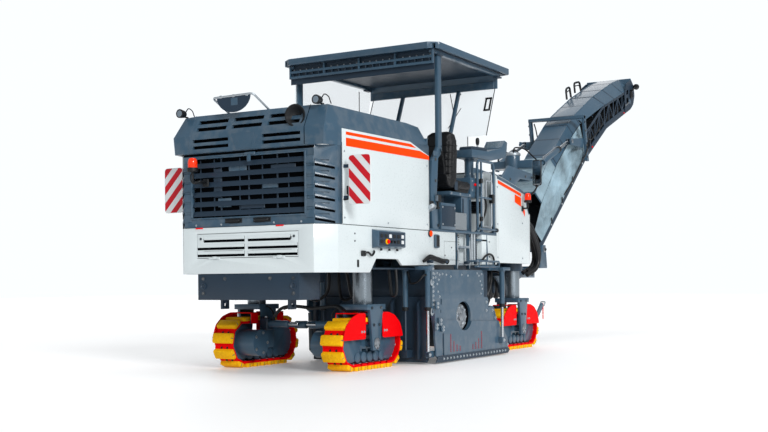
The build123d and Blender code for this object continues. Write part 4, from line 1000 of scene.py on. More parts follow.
def make_console():
    """Arm panel with keys, display and lever, and the boxes and ribs below it."""
    top = Shape()
    keys = ("board_white", "black", "pad", "black", "red", "black", "board_white")
    for row in range(3):
        y = -0.95 + row * 0.07
        for k in range(7):
            x = -1.83 + k * 0.052
            z = 2.714 + (x + 1.9) * 0.18
            top.box(about(x, 0.017), (y, y + 0.045), (z - 0.03, z + 0.006), keys[(k + row) % 7])
    top.slab([(-1.545, 2.80), (-1.455, 2.905), (-1.40, 2.915), (-1.415, 2.90), (-1.53, 2.79)], "Y", -0.97,
             -0.73, "black")
    top.slab([(-1.537, 2.815), (-1.467, 2.897), (-1.474, 2.903), (-1.545, 2.82)], "Y", -0.95, -0.75, "glass",
             0.001)
    top.slab([(-2.50, 2.700), (-2.02, 2.718), (-2.02, 2.745), (-2.05, 2.76), (-2.47, 2.742), (-2.50, 2.72)],
             "Y", -0.985, -0.80, "slate_shaded", 0.008)
    top.slab(rounded([(-2.52, 2.14), (-2.17, 2.14), (-2.17, 2.31), (-2.52, 2.31)], 0.03), "Y", -0.986, -0.979,
             "slate", 0.003)
    # lever with its boot and knob, then the stem's collars and the folds of its boot
    turned = [((-1.93, -0.80, 2.715), [(0.05, 0), (0.046, 0.02), (0.034, 0.035), (0.03, 0.05), (0.02, 0.06)],
               "black", 24),
              ((-1.925, -0.80, 2.82), [(0.015, 0), (0.024, 0.02), (0.027, 0.06), (0.022, 0.09), (0.01, 0.1)],
               "black", 20),
              ((-2.30, -0.85, 2.33), [(0.061, 0), (0.075, 0), (0.075, 0.05), (0.062, 0.056)], "slate", 28),
              ((-2.30, -0.85, 2.565), [(0.061, 0), (0.066, 0.004), (0.066, 0.02), (0.061, 0.024)], "slate",
               28)]
    turned += [((-2.12, -0.86, 1.885 + k * 0.026), [(0.095, 0), (0.108, 0.012), (0.095, 0.024)], "black", 24)
               for k in range(6)]
    for at, profile, kind, sides in turned:
        top.lathe(profile, at, up, kind, sides)
    top.rod((-1.93, -0.80, 2.76), (-1.925, -0.80, 2.84), 0.012, "steel", 12)
    top.bolts([(x, -0.986, z) for x in (-2.49, -2.20) for z in (2.165, 2.285)], right, 0.008, "zinc")
    top.bolts([(x, -0.98, 2.092) for x in (-3.09, -2.84, -2.56, -2.3, -2.18)], right, 0.01, "zinc")
    for x, kind in ((-2.42, "red"), (-2.35, "black"), (-2.28, "zinc")):
        top.lathe([(0.018, 0), (0.018, 0.014), (0.014, 0.018)], (x, -0.986, 2.24), right, kind, 20)
    for x in (-2.7, -2.5):
        top.box(about(x, 0.02), (-0.956, -0.95), (1.66, 2.04), "slate_shaded")
    top.hose([(-2.28, -0.90, 2.13), (-2.16, -1.0, 2.08), (-2.10, -1.0, 1.96), (-2.14, -0.98, 1.82),
              (-2.2, -0.93, 1.68), (-2.24, -0.9, 1.622)], 0.013)
    top.make("console_fittings", "machine")


def make_deck():
    """Tread plates of the platform and the kick plate of its seat box."""
    deck = Shape()
    for x in ((-3.755, -3.0), (-2.99, -2.4), (-2.39, -1.9)):
        for y in ((-0.59, -0.05), (-0.04, 0.49), (0.50, 0.97)):
            deck.box(x, y, (1.620, 1.6265), "tread", 0.002)
    deck.box((-3.755, -2.76), (-0.99, -0.60), (1.620, 1.6265), "tread", 0.002)
    deck.box((-3.13, -2.70), (-1.002, -0.992), (1.63, 1.85), "tread", 0.003)
    deck.bolts([(x, -1.002, 1.82) for x in (-3.10, -2.73)], right, 0.009, "zinc")
    deck.make("deck_plates", "machine")


def make_rails():
    """Rail clamps, gate, ladder rungs, step bars, lamp and cup on the platform's right side."""
    rail = Shape()
    rail.bolts([(-3.58, -1.042, 1.66), (-3.64, -1.042, 2.2), (-3.64, -1.042, 2.46)], right, 0.014,
               "dark_steel")
    rail.box((-3.70, -3.60), (-1.055, -1.042), (2.50, 2.56), "slate")
    rail.mirrored()
    y = -1.01
    for x in (-2.39, -2.271, -1.88):
        rail.lathe([(0.034, 0), (0.034, 0.006), (0.022, 0.012), (0.0185, 0.04)], (x, y, 1.6205), up, "slate",
                   24)
    gate = [(-2.225, 1.70), (-2.225, 2.42), (-1.95, 2.42), (-1.95, 1.70), (-2.225, 1.70)]
    rail.bar([(x, y, z) for x, z in gate], 0.05, 0.0125, "zinc", 12)
    gate = [(-2.12, 2.08), (-2.12, 2.315), (-1.93, 2.315), (-1.93, 2.071), (-2.12, 2.08)]
    rail.bar([(x, y, z) for x, z in gate], 0.05, 0.011, "zinc")
    rail.box((-1.965, -1.905), about(y, 0.03), (2.02, 2.14), "black", 0.006)
    for z in (1.80, 2.30):
        rail.rod((-2.271, y, z - 0.03), (-2.271, y, z + 0.03), 0.024, "black")
        rail.rod((-2.271, y, z), (-2.215, y, z), 0.012, "slate", 12)
    rail.box((-1.899, -1.891), (-0.985, -0.30), (1.632, 2.43), "white", 0.002)
    rail.tube([(-2.41, -1.035, 1.667), (-1.845, -1.035, 1.662)], 0.015, "slate", 12)
    rail.lathe([(0.018, -0.02), (0.028, -0.012), (0.028, 0.012), (0.018, 0.02)], (-1.845, -1.035, 1.662),
               front, "black", 20)
    # ladder: slots in its stringers, steps with their teeth, grab bars
    # the stringer slots are near-black patches: painted shade inside them
    for x in (-2.975, -2.455):
        for k in range(12):
            z = 1.235 + k * 0.029
            rail.box(about(x, 0.008), (-1.0225, -1.0195), (z, z + 0.015), "gap_and_painted_shade", 0.0005)
    for z in (1.192, 1.412):
        rail.box((-3.02, -2.694), (-1.032, -0.948), (z + 0.012, z + 0.018), "tread", 0.002)
        for k in range(9):
            x = -3.0 + k * 0.036
            rail.box((x, x + 0.015), (-1.034, -1.028), (z - 0.01, z + 0.02), "zinc", 0.002)
    for x in (-3.034, -2.68):
        rail.bar([(x, -1.02, 1.14), (x, -1.045, 1.30), (x, -1.02, 1.50)], 0.05, 0.012, "zinc")
        rail.bolts([(x, -1.03, 1.56)], right, 0.012, "dark_steel")
    for x in (-2.60, -2.52):
        rail.rod((x, -1.02, 1.25), (x, -1.02, 1.60), 0.016, "zinc", 12)
    rail.rod((-2.175, -1.045, 1.235), (-2.175, -1.03, 1.62), 0.013, "slate", 12)
    rail.box((-2.47, -2.44), (-1.0195, -0.985), (1.20, 1.60), "slate_shaded", 0.003)
    for z in (1.24, 1.50):
        rail.box((-2.47, -2.16), (-1.04, -1.018), (z, z + 0.03), "slate")
    # box on the platform's edge, grey cup and work lamp by the canopy post
    rail.box((-3.52, -3.15), (-1.065, -1.0595), (1.66, 1.91), "slate_shaded")
    rail.bolts([(x, -1.065, z) for x in (-3.50, -3.17) for z in (1.68, 1.89)], right, 0.009, "zinc")
    rail.lathe([(0.02, 0), (0.05, 0.01), (0.06, 0.045), (0.052, 0.06)], (-3.77, -1.035, 1.90), (0, -0.6, -1),
               "zinc", 24)
    for x, y, z, kind, edge in (((-3.79, -3.70), (-1.05, -1.035), (1.86, 1.95), "black", 0.005),
                                ((-3.66, -3.57), (-1.09, -1.044), (1.94, 2.03), "black", 0.010),
                                ((-3.667, -3.659), (-1.085, -1.05), (1.95, 2.02), "lens", 0.002),
                                ((-3.65, -3.59), (-1.075, -1.042), (1.86, 1.885), "black", 0.004)):
        rail.box(x, y, z, kind, edge)
    rail.rod((-3.62, -1.06, 1.88), (-3.62, -1.06, 1.95), 0.012, "black", 12)
    rail.hose([(-3.5, -1.045, 2.60), (-3.46, -1.06, 2.42), (-3.42, -1.05, 2.30), (-3.38, -1.03, 2.42),
               (-3.42, -1.03, 2.56), (-3.48, -1.04, 2.64)], 0.006, 8)
    rail.make("rail_fittings", "machine")


def make_canopy():
    """Roof ribs, gutters, lining, rear studs, window seals, wipers and the pane on the left."""
    roof = Shape()
    roof.box((-3.69, -1.72), (-1.05, -0.99), (3.75, 3.79), "slate", 0.006)
    for x in (-3.51, -1.75):
        roof.box(about(x, 0.07), (-1.06, -0.985), (3.735, 3.752), "slate_shaded")
    for y in (-0.85, -0.51, -0.17):
        roof.box((-3.62, -1.70), about(y, 0.045), (3.868, 3.8698), "slate", 0.0008)
    roof.mirrored()
    roof.box((-3.71, -1.60), about(0, 1.07), (3.786, 3.795), "slate_shaded", 0.002)
    roof.box((-3.664, -3.656), about(0, 1.05), (3.55, 3.79), "slate_shaded", 0.002)
    roof.bolts([(-3.6645, -1.0 + k * 0.095, 3.735) for k in range(22)], rear, 0.007, "steel")
    for k in range(21):
        roof.box((-3.698, -3.672), about(-1.0 + k * 0.1, 0.004), (3.652, 3.69), "slate_shaded", 0.001)
    roof.box((-1.735, -1.722), about(0, 0.96), (3.60, 3.70), "slate")
    roof.make("canopy_fittings", "machine")

    pane = Shape()
    bars = [
        # start, end, radius and sides
        ((-2.003, -0.692, 2.935), (-2.003, -0.692, 2.447), 0.006, 8),
        ((-2.003, 0.962, 2.935), (-2.003, 0.962, 2.447), 0.006, 8),
        ((-1.735, -0.30, 3.58), (-1.86, -0.42, 3.26), 0.006, 8),
        ((-1.81, -0.50, 3.36), (-1.93, -0.36, 3.08), 0.005, 8),
    ]
    bars += [((-1.700, y, 3.60), (-1.990, y, 2.935), 0.006, 8) for y in (-0.962, 0.962)]
    # small square frame held to the pane
    bars += [((-1.838, y, 3.30), (-1.765, y, 3.468), 0.013, 6) for y in (-0.935, -0.865)]
    bars += [((x, -0.948, z), (x, -0.852, z), 0.013, 6) for x, z in ((-1.838, 3.30), (-1.765, 3.468))]
    for start, end, radius, sides in bars:
        pane.tube([start, end], radius, "black", sides)
    pane.box((-2.012, -1.994), (-0.70, 0.965), (2.435, 2.452), "black", 0.003)
    pane.rod((-1.72, -0.44, 3.575), (-1.72, -0.44, 3.56), 0.02, "black", 12)
    outline = [(-3.62, 2.44), (-1.99, 2.44), (-1.70, 3.60), (-1.70, 3.785), (-3.62, 3.785)]
    pane.slab(outline, "Y", 1.017, 1.021, "glass", 0)
    pane.rod((-2.0, 1.02, 2.45), (-2.0, 1.02, 3.70), 0.006, "black", 8)
    places = ((-1.81, 3.5), (-1.95, 3.2), (-2.07, 2.85), (-2.095, 2.5))
    pane.bolts([(x, y, z) for y in (-0.44, 0.44) for x, z in places], (-1, 0, 0.3), 0.009, "dark_steel")
    pane.make("windscreen_trim", "machine")


def make_front_body():
    """Dark top trim, stripes, marker, mirror, beacon, caps and grab handles of the front housing."""
    tops = [(-1.87, 2.457), (-1.40, 2.400), (-0.79, 2.310), (-0.56, 2.020)]
    trim = Shape()
    tree = BVHTree.FromObject(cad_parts["front_body"], bpy.context.evaluated_depsgraph_get())

    def band(side, rows, kind, gap=0.002, steps=12):
        """Thin strip on one side: rows hold x, low edge and high edge."""
        line = []
        for (x0, a0, b0), (x1, a1, b1) in zip(rows, rows[1:]):
            for k in range(steps + 1):
                t = k / steps
                x = x0 + (x1 - x0) * t
                hits = [(tree.ray_cast(Vector((x, side * 3, z)), Vector((0, -side, 0)))[0], z)
                        for z in (a0 + (a1 - a0) * t, b0 + (b1 - b0) * t)]
                if all(hit for hit, z in hits):
                    line.append([(x, hit.y + side * gap, z) for hit, z in hits])
        trim.strip(line if side < 0 else line[::-1], kind)

    stripes = ([(-1.80, 2.300, 2.345), (-0.90, 2.180, 2.222)], [(-1.15, 2.085, 2.195), (-0.90, 2.035, 2.160)],
               [(-0.87, 1.99, 2.06), (-0.74, 1.90, 1.985)])
    places = ((-1.82, 1.038, 1.30), (-1.82, 1.038, 1.75), (-1.82, 1.038, 2.25), (-0.85, 0.988, 1.30),
              (-0.85, 0.988, 1.80))
    trim.bolts([(x, -half, z) for x, half, z in places], right, 0.009, "zinc")
    trim.mirrored()
    for side in (-1, 1):
        for low, high in ((0.088, 0.062), (0.062, 0.040), (0.040, 0.018)):
            band(side, [(x, z - low, z - high) for x, z in tops], "slate", 0.003)
        for rows in stripes:
            band(side, rows, "orange")
    trim.make("front_trim", "machine")

    top = Shape()
    top.lathe([(0.07, 0), (0.07, 0.02), (0.062, 0.034), (0.02, 0.038)], (-1.1, -0.5, 2.352), (0.12, 0, 1),
              "black", 32)
    top.box((-0.49, -0.478), (-0.94, -0.885), (1.70, 1.84), "lens", 0.005)
    top.mirrored()
    for y in (-0.5, 0.5):
        top.bar([(-1.55, y, 2.41), (-1.55, y, 2.47), (-1.30, y, 2.44), (-1.30, y, 2.38)], 0.03, 0.011,
                "black")
    for y in (-0.7, 0, 0.7):
        top.box((-0.488, -0.482), about(y, 0.05), (1.86, 1.93), "black", 0.003)
    top.make("front_fittings", "machine")

    mirror = Shape()
    mirror.bar([(-0.74, -0.992, 2.15), (-0.77, -1.13, 2.24), (-0.80, -1.19, 2.30), (-0.80, -1.20, 2.345)],
               0.03, 0.0118, "black", 12)
    for half_y, half_z, mid_z, x0, x1, kind, edge, radius in (
            (0.068, 0.183, 2.515, -0.811, -0.789, "black", 0.007, 0.03),
            (0.058, 0.170, 2.515, -0.8118, -0.8105, "mirror", 0.0005, 0.022)):
        (y0, y1), (z0, z1) = about(-1.2, half_y), about(mid_z, half_z)
        mirror.slab([(y0, z0), (y1, z0), (y1, z1), (y0, z1)], "X", x0, x1, kind, edge, radius)
    mirror.box((-0.83, -0.79), (-1.22, -1.18), (2.31, 2.345), "black", 0.006)
    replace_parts(mirror.make("side_mirror", "machine"), "mirror")

    x, y = -0.85, -1.075
    beacon = Shape()
    add_beacon(beacon, x, y, [(0.03, 2.09), (0.053, 2.094), (0.0545, 2.105), (0.0545, 2.122), (0.047, 2.128)],
               [(0.045, 2.126), (0.0455, 2.18), (0.041, 2.207), (0.03, 2.224), (0.012, 2.2295)])
    beacon.bar([(x, y, 2.095), (x, y, 2.012), (x, -0.992, 2.012)], 0.03, 0.0135, "black")
    beacon.box(about(x, 0.03), (-0.998, -0.986), (1.97, 2.05), "black")
    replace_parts(beacon.make("side_beacon", "machine"), "front_beacon")


def line_at(table, x):
    """Height of a line of the conveyor at x."""
    for (x0, z0), (x1, z1) in zip(table, table[1:]):
        if x <= x1:
            return z0 + (z1 - z0) * (x - x0) / (x1 - x0)
    return table[-1][1]


def slope_at(table, x):
    """Slope of a line of the conveyor at x."""
    return (line_at(table, x + 0.02) - line_at(table, x - 0.02)) / 0.04 if x < 5.85 else head_slope


head_slope = 0.3  # of the cover's last rib


def make_cover():
    """Ribs, edges and handle of the conveyor's cover, and its hoops."""
    cover = Shape()
    cover.bolts([(x, -0.451, line_at(side_line, x) - 0.02) for x in (4.35 + k * 0.18 for k in range(9))],
                right, 0.008, "dark_steel")
    cover.mirrored()
    for y in (-0.22, 0.22):
        points = [(x, y, z) for x, z in top_line[:-1]] + [(5.85, y, line_at(top_line, 5.85) - 0.004)]
        cover.tube(points, 0.006, "slate", 8)
    for x in (1.56, 2.2, 2.62, 3.0, 3.34, 3.85, 4.35, 4.88, 5.4, 5.86):
        high = line_at(top_line, x) - 0.002
        mid = high - 0.17 if x < 3.4 else line_at(side_line, x)
        half = 0.33 + 0.12 * min(1, max(0, (x - 3.35) / 0.93))
        slope = slope_at(top_line, x)
        way = Vector((1, 0, slope)).normalized() * 0.014
        lift = Vector((-slope, 0, 1)).normalized() * 0.002
        ends = [Vector((x, y, z)) for y, z in ((-half, mid), (-0.22, high), (0.22, high), (half, mid))]
        for pair in zip(ends, ends[1:]):
            cover.rings([[p - way - lift, p + way - lift, p + way + lift, p - way + lift] for p in pair],
                        "slate_shaded")
    x = 2.02
    z = line_at(top_line, x)
    for y in (-0.09, 0.09):
        cover.lathe([(0.02, 0), (0.016, 0.008)], (x, y, z - 0.002), (-0.7, 0, 0.7), "black", 12)
    cover.bar([(x, -0.09, z), (x - 0.035, -0.09, z + 0.05), (x - 0.035, 0.09, z + 0.05), (x, 0.09, z)], 0.02,
              0.009, "black")
    cover.make("cover_ribs", "boom")

    hoops = Shape()
    y = 0.33
    for x, wide, high in ((4.45, 0.10, 0.21), (4.94, 0.15, 0.20)):
        z = line_at(top_line, x) - 0.03
        hoops.bar([(x - wide, y - 0.04, z - 0.02), (x - wide, y - 0.02, z + high - 0.03),
                   (x + wide, y - 0.02, z + high + 0.04), (x + wide * 1.2, y - 0.04, z + 0.05)], 0.07, 0.0195,
                  "black", 14)
        hoops.bar([(x - wide + 0.01, y - 0.03, z + 0.06), (x - wide + 0.04, y - 0.025, z + high - 0.08),
                   (x + wide - 0.03, y - 0.025, z + high - 0.03), (x + wide, y - 0.03, z + 0.10)], 0.04,
                  0.010, "black")
    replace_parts(hoops.make("cover_hoops", "boom"), "boom_hoops")


def make_boom():
    """Head fittings, lamp, belt cleats, and the bolts and hoses of the conveyor's cross frame."""
    head = Shape()
    y = -0.451
    outline = [(5.52, 4.235), (5.90, 4.37), (6.04, 4.47), (6.115, 4.64), (6.06, 4.82), (5.90, 4.925),
               (5.62, 4.80), (5.50, 4.60)]
    head.slab(outline, "Y", y - 0.012, y, "slate_shaded", 0.003, 0.03)
    head.lathe([(0.075, 0), (0.075, 0.02), (0.06, 0.03), (0.035, 0.03), (0.03, 0.02)],
               (5.87, y - 0.012, 4.62), right, "black", 32)
    head.bolts([(p.x, y - 0.03, p.y) for p in oval(5.87, 4.62, 0.055, 0.055, 0, 6, 6)], right, 0.008, "steel")
    # the windows in the head plate are near-black plates: painted shade inside them
    for z, rise, deep in ((4.40, 0.04, 0.11), (4.58, 0.04, 0.08)):
        window = [(5.60, z), (5.70, z + rise), (5.70, z + rise + deep), (5.60, z + deep)]
        head.slab(window, "Y", y - 0.014, y - 0.0115, "gap_and_painted_shade", 0.0008, 0.01)
    head.rod((5.50, y - 0.02, 4.36), (5.78, y - 0.02, 4.475), 0.012, "steel", 12)
    head.box((5.72, 5.80), (y - 0.034, y - 0.008), (4.44, 4.51), "slate", 0.005)
    head.box((5.44, 5.47), (y - 0.014, y), (4.20, 4.225), "red")
    head.box((3.62, 3.65), (y - 0.014, y), (3.36, 3.39), "red")
    head.mirrored()
    head.make("head_fittings", "boom")

    lamp = Shape()
    at = (5.985, -0.515, 4.80)
    lamp.lathe([(0.02, 0), (0.038, 0.004), (0.05, 0.03), (0.056, 0.07), (0.0575, 0.088), (0.053, 0.09)], at,
               front, "black", 28)
    lamp.lathe([(0.052, 0.082), (0.052, 0.087), (0.04, 0.0895)], at, front, "lens", 28)
    lamp.bar([(5.85, -0.515, 4.705), (5.90, -0.515, 4.74), (6.0, -0.515, 4.79)], 0.03, 0.0135, "black")
    lamp.box((5.832, 5.868), (-0.529, -0.452), (4.692, 4.718), "black")
    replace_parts(lamp.make("tail_lamp", "boom"), "boom_lamp")

    belt = Shape()
    for k in range(26):
        x = 1.35 + k * 0.175
        slope = slope_at(low_line, x)
        way = Vector((1, 0, slope)).normalized() * 0.014
        lift = Vector((-slope, 0, 1)).normalized() * 0.02
        z = line_at(low_line, x) + 0.15
        ends = (Vector((x + 0.10, -0.02, z + 0.10 * slope)), Vector((x, -0.34, z)))
        belt.rings([[p - way, p + way, p + way * 0.6 + lift, p - way * 0.6 + lift] for p in ends], "rubber")
    belt.mirrored()
    belt.make("belt_cleats", "boom")

    cross = Shape()
    y = -0.5
    places = ((3.14, 3.35), (3.17, 3.25), (3.09, 3.60), (3.06, 3.75), (3.2, 3.15))
    cross.bolts([(x, y - 0.022, z) for x, z in places], right, 0.014, "dark_steel")
    cross.lathe([(0.035, 0), (0.035, 0.012), (0.028, 0.016)], (2.55, -0.478, 3.36), right, "steel", 24)
    cross.box((3.02, 3.11), (y - 0.022, y), (3.80, 3.8695), "slate", 0.01)
    cross.mirrored()
    upper = ((3.05, 0.42, 3.78), (3.2, 0.45, 3.70), (3.35, 0.462, 3.52), (3.55, 0.463, 3.50),
             (3.8, 0.463, 3.62), (4.2, 0.463, 3.86))
    lower = ((2.2, 0.455, 2.42), (2.6, 0.47, 2.70), (3.0, 0.47, 3.02), (3.1, 0.53, 3.2), (3.16, 0.535, 3.35),
             (3.2, 0.47, 3.5), (3.35, 0.463, 3.56))
    for side in (-1, 1):
        for points, radius in ((upper, 0.011), (lower, 0.012)):
            cross.hose([(x, side * y, z) for x, y, z in points], radius)
    cross.make("cross_fittings", "boom")


def make_slew():
    """Bolts, collars, pins and hoses of the slewing mast, and the fittings of the two lift rams."""
    slew = Shape()
    x, z = foot_pin
    slew.lathe([(0.05, 0), (0.05, 0.014), (0.042, 0.018)], (x, -0.508, z), right, "steel", 28)
    slew.bolts([(x, -0.526, z)], right, 0.02, "dark_steel")
    slew.mirrored()
    points = ((1.0, 0.06, 3.05), (0.98, 0.10, 3.12), (1.08, 0.22, 3.10), (1.20, 0.30, 3.0),
              (1.3, 0.33, 2.945))
    for side in (-1, 1):
        slew.hose([(x, side * y, z) for x, y, z in points], 0.012)
    for radius, z, size in ((0.235, 1.18, 0.014), (0.1, 3.05, 0.011)):
        slew.bolts([(p.x, p.y, z) for p in oval(slew_x, 0, radius, radius, 0, 12, 12)], up, size, "steel")
    for collar in ([(0.121, 2.702), (0.135, 2.71), (0.135, 2.75), (0.121, 2.76)],
                   [(0.121, 3.0), (0.131, 3.01), (0.131, 3.035), (0.121, 3.049)]):
        slew.lathe(collar, (slew_x, 0, 0), up, "zinc", 48)
    slew.make("slew_fittings", "slew")

    reach = Vector((1.25, 0, 0.5))
    way = reach.normalized()
    away = Vector((-way.z, 0, way.x))
    base = Vector((1.3, -0.4, 2.86))
    barrel = Shape()
    barrel.lathe([(0.0465, 0.10), (0.05, 0.105), (0.05, 0.135), (0.0465, 0.14)], base, way, "slate", 32)
    barrel.lathe([(0.034, 0.895), (0.052, 0.892), (0.054, 0.87), (0.054, 0.83), (0.0465, 0.82)], base, way,
                 "black", 32)
    rod = Shape()
    rod.lathe([(0.0285, 0.885), (0.0285, 1.285), (0.024, 1.29)], base, way, "chrome", 32)
    rod.lathe([(0.0485, -0.022), (0.05, -0.018), (0.05, 0.018), (0.0485, 0.022)], base + reach, (0, 1, 0),
              "slate_shaded", 28)
    barrel.mirrored()
    rod.mirrored()
    pipe = ((0.15, 0.04), (0.16, 0.075), (0.3, 0.07), (0.7, 0.066), (0.83, 0.062), (0.85, 0.05))
    for y in (-0.4, 0.4):
        base.y = y
        barrel.tube(flowing([base + way * along + away * off for along, off in pipe]), 0.009, "steel", 8)
    barrel.make("lift_ram_fittings", "ram_barrels")
    rod.make("lift_rod_fittings", "ram_rods")


def make_tarps():
    """Sheets at the sides of the conveyor and over its cover, with folds and straps."""
    columns, rows = 100, 26
    for side, name in ((-1, "tarp_right"), (1, "tarp_left"), (0, "tarp_top")):
        verts = []
        for i in range(columns + 1):
            u = i / columns
            ends = min(1, 14 * u, 14 * (1 - u))
            x = 1.20 + 2.12 * u if side else 1.51 + 0.62 * u
            low = line_at(low_line, x) + 0.112
            high = min(line_at(top_line, x) - 0.178, 1.72 + (x - 1.15) * 1.5)
            for j in range(rows + 1):
                v = j / rows
                crease = abs(math.sin(11 * u + 8 * v + side)) + 0.8 * abs(math.sin(25 * u - 13 * v)) - 0.9
                if side:
                    fold = 0.045 * crease + 0.018 * math.sin(5 * u + 13 * v + side)
                    fold = 0.025 - abs(fold) * 0.25 if x < 1.45 else fold
                    hold = math.sin(math.pi * v) ** 0.6 * ends
                    verts.append((x, side * (0.452 - 0.118 * v + hold * (fold - 0.025)),
                                  low + (high - low) * v))
                else:
                    y = 0.334 * (2 * v - 1)
                    drop = max(0.0, abs(y) - 0.22) * 1.55
                    verts.append((x, -y, line_at(top_line, x) - drop + 0.007 + 0.012 * abs(crease) * ends))
        faces = []
        for i in range(columns):
            for j in range(rows):
                a = i * (rows + 1) + j
                quad = [a, a + rows + 1, a + rows + 2, a + 1]
                faces.append(quad if side < 0 else quad[::-1])
        mesh = bpy.data.meshes.new(name)
        mesh.from_pydata(verts, [], faces)
        mesh.materials.append(finish_of("tarp"))
        obj = bpy.data.objects.new(name, mesh)
        bpy.context.scene.collection.objects.link(obj)
        mesh.polygons.foreach_set("use_smooth", [True] * len(mesh.polygons))
        thick = obj.modifiers.new("thick", "SOLIDIFY")
        thick.thickness = 0.003
        thick.offset = 0
        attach(obj, "boom")
        if not side:
            continue
        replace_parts(obj, "boom_sheets")
        strap = Shape()
        for x in (1.62, 2.1, 2.6, 3.1):
            low = line_at(low_line, x) + 0.09
            strap.tube([(x, side * 0.462, low + 0.10), (x, side * 0.466, low + 0.04),
                        (x, side * 0.462, low - 0.01)],
                       0.010, "black", 8)
            strap.box(about(x, 0.02), span(side * 0.450, side * 0.468), (low - 0.03, low), "zinc")
        strap.make(name + "_straps", "boom")


def make_drum():
    """Pick tips on the milling drum, along two helices that meet in the middle."""
    drum = Shape()
    pick = Shape()
    pick.lathe([(0.016, 0), (0.019, 0.01), (0.012, 0.028), (0.006, 0.046), (0.002, 0.052)], (0, 0, 0.4365),
               (0.25, 0, 1), "steel", 12)
    pick.lathe([(0.022, 0), (0.022, 0.03), (0.02, 0.034)], (-0.018, 0, 0.41), (0.25, 0, 1), "dark_steel", 12)
    rows, width = 26, 1.41
    for i in range(rows):
        y = -0.995 + width * i / (rows - 1)
        turn = 47 * min(i, rows - 1 - i)
        for start in (0, 180):
            place = Matrix.Translation((drum_x, y, drum_z)) @ Matrix.Rotation(math.radians(turn + start), 4,
                                                                              "Y")
            drum.moved(pick, place)
    drum.make("drum_picks", "drum")


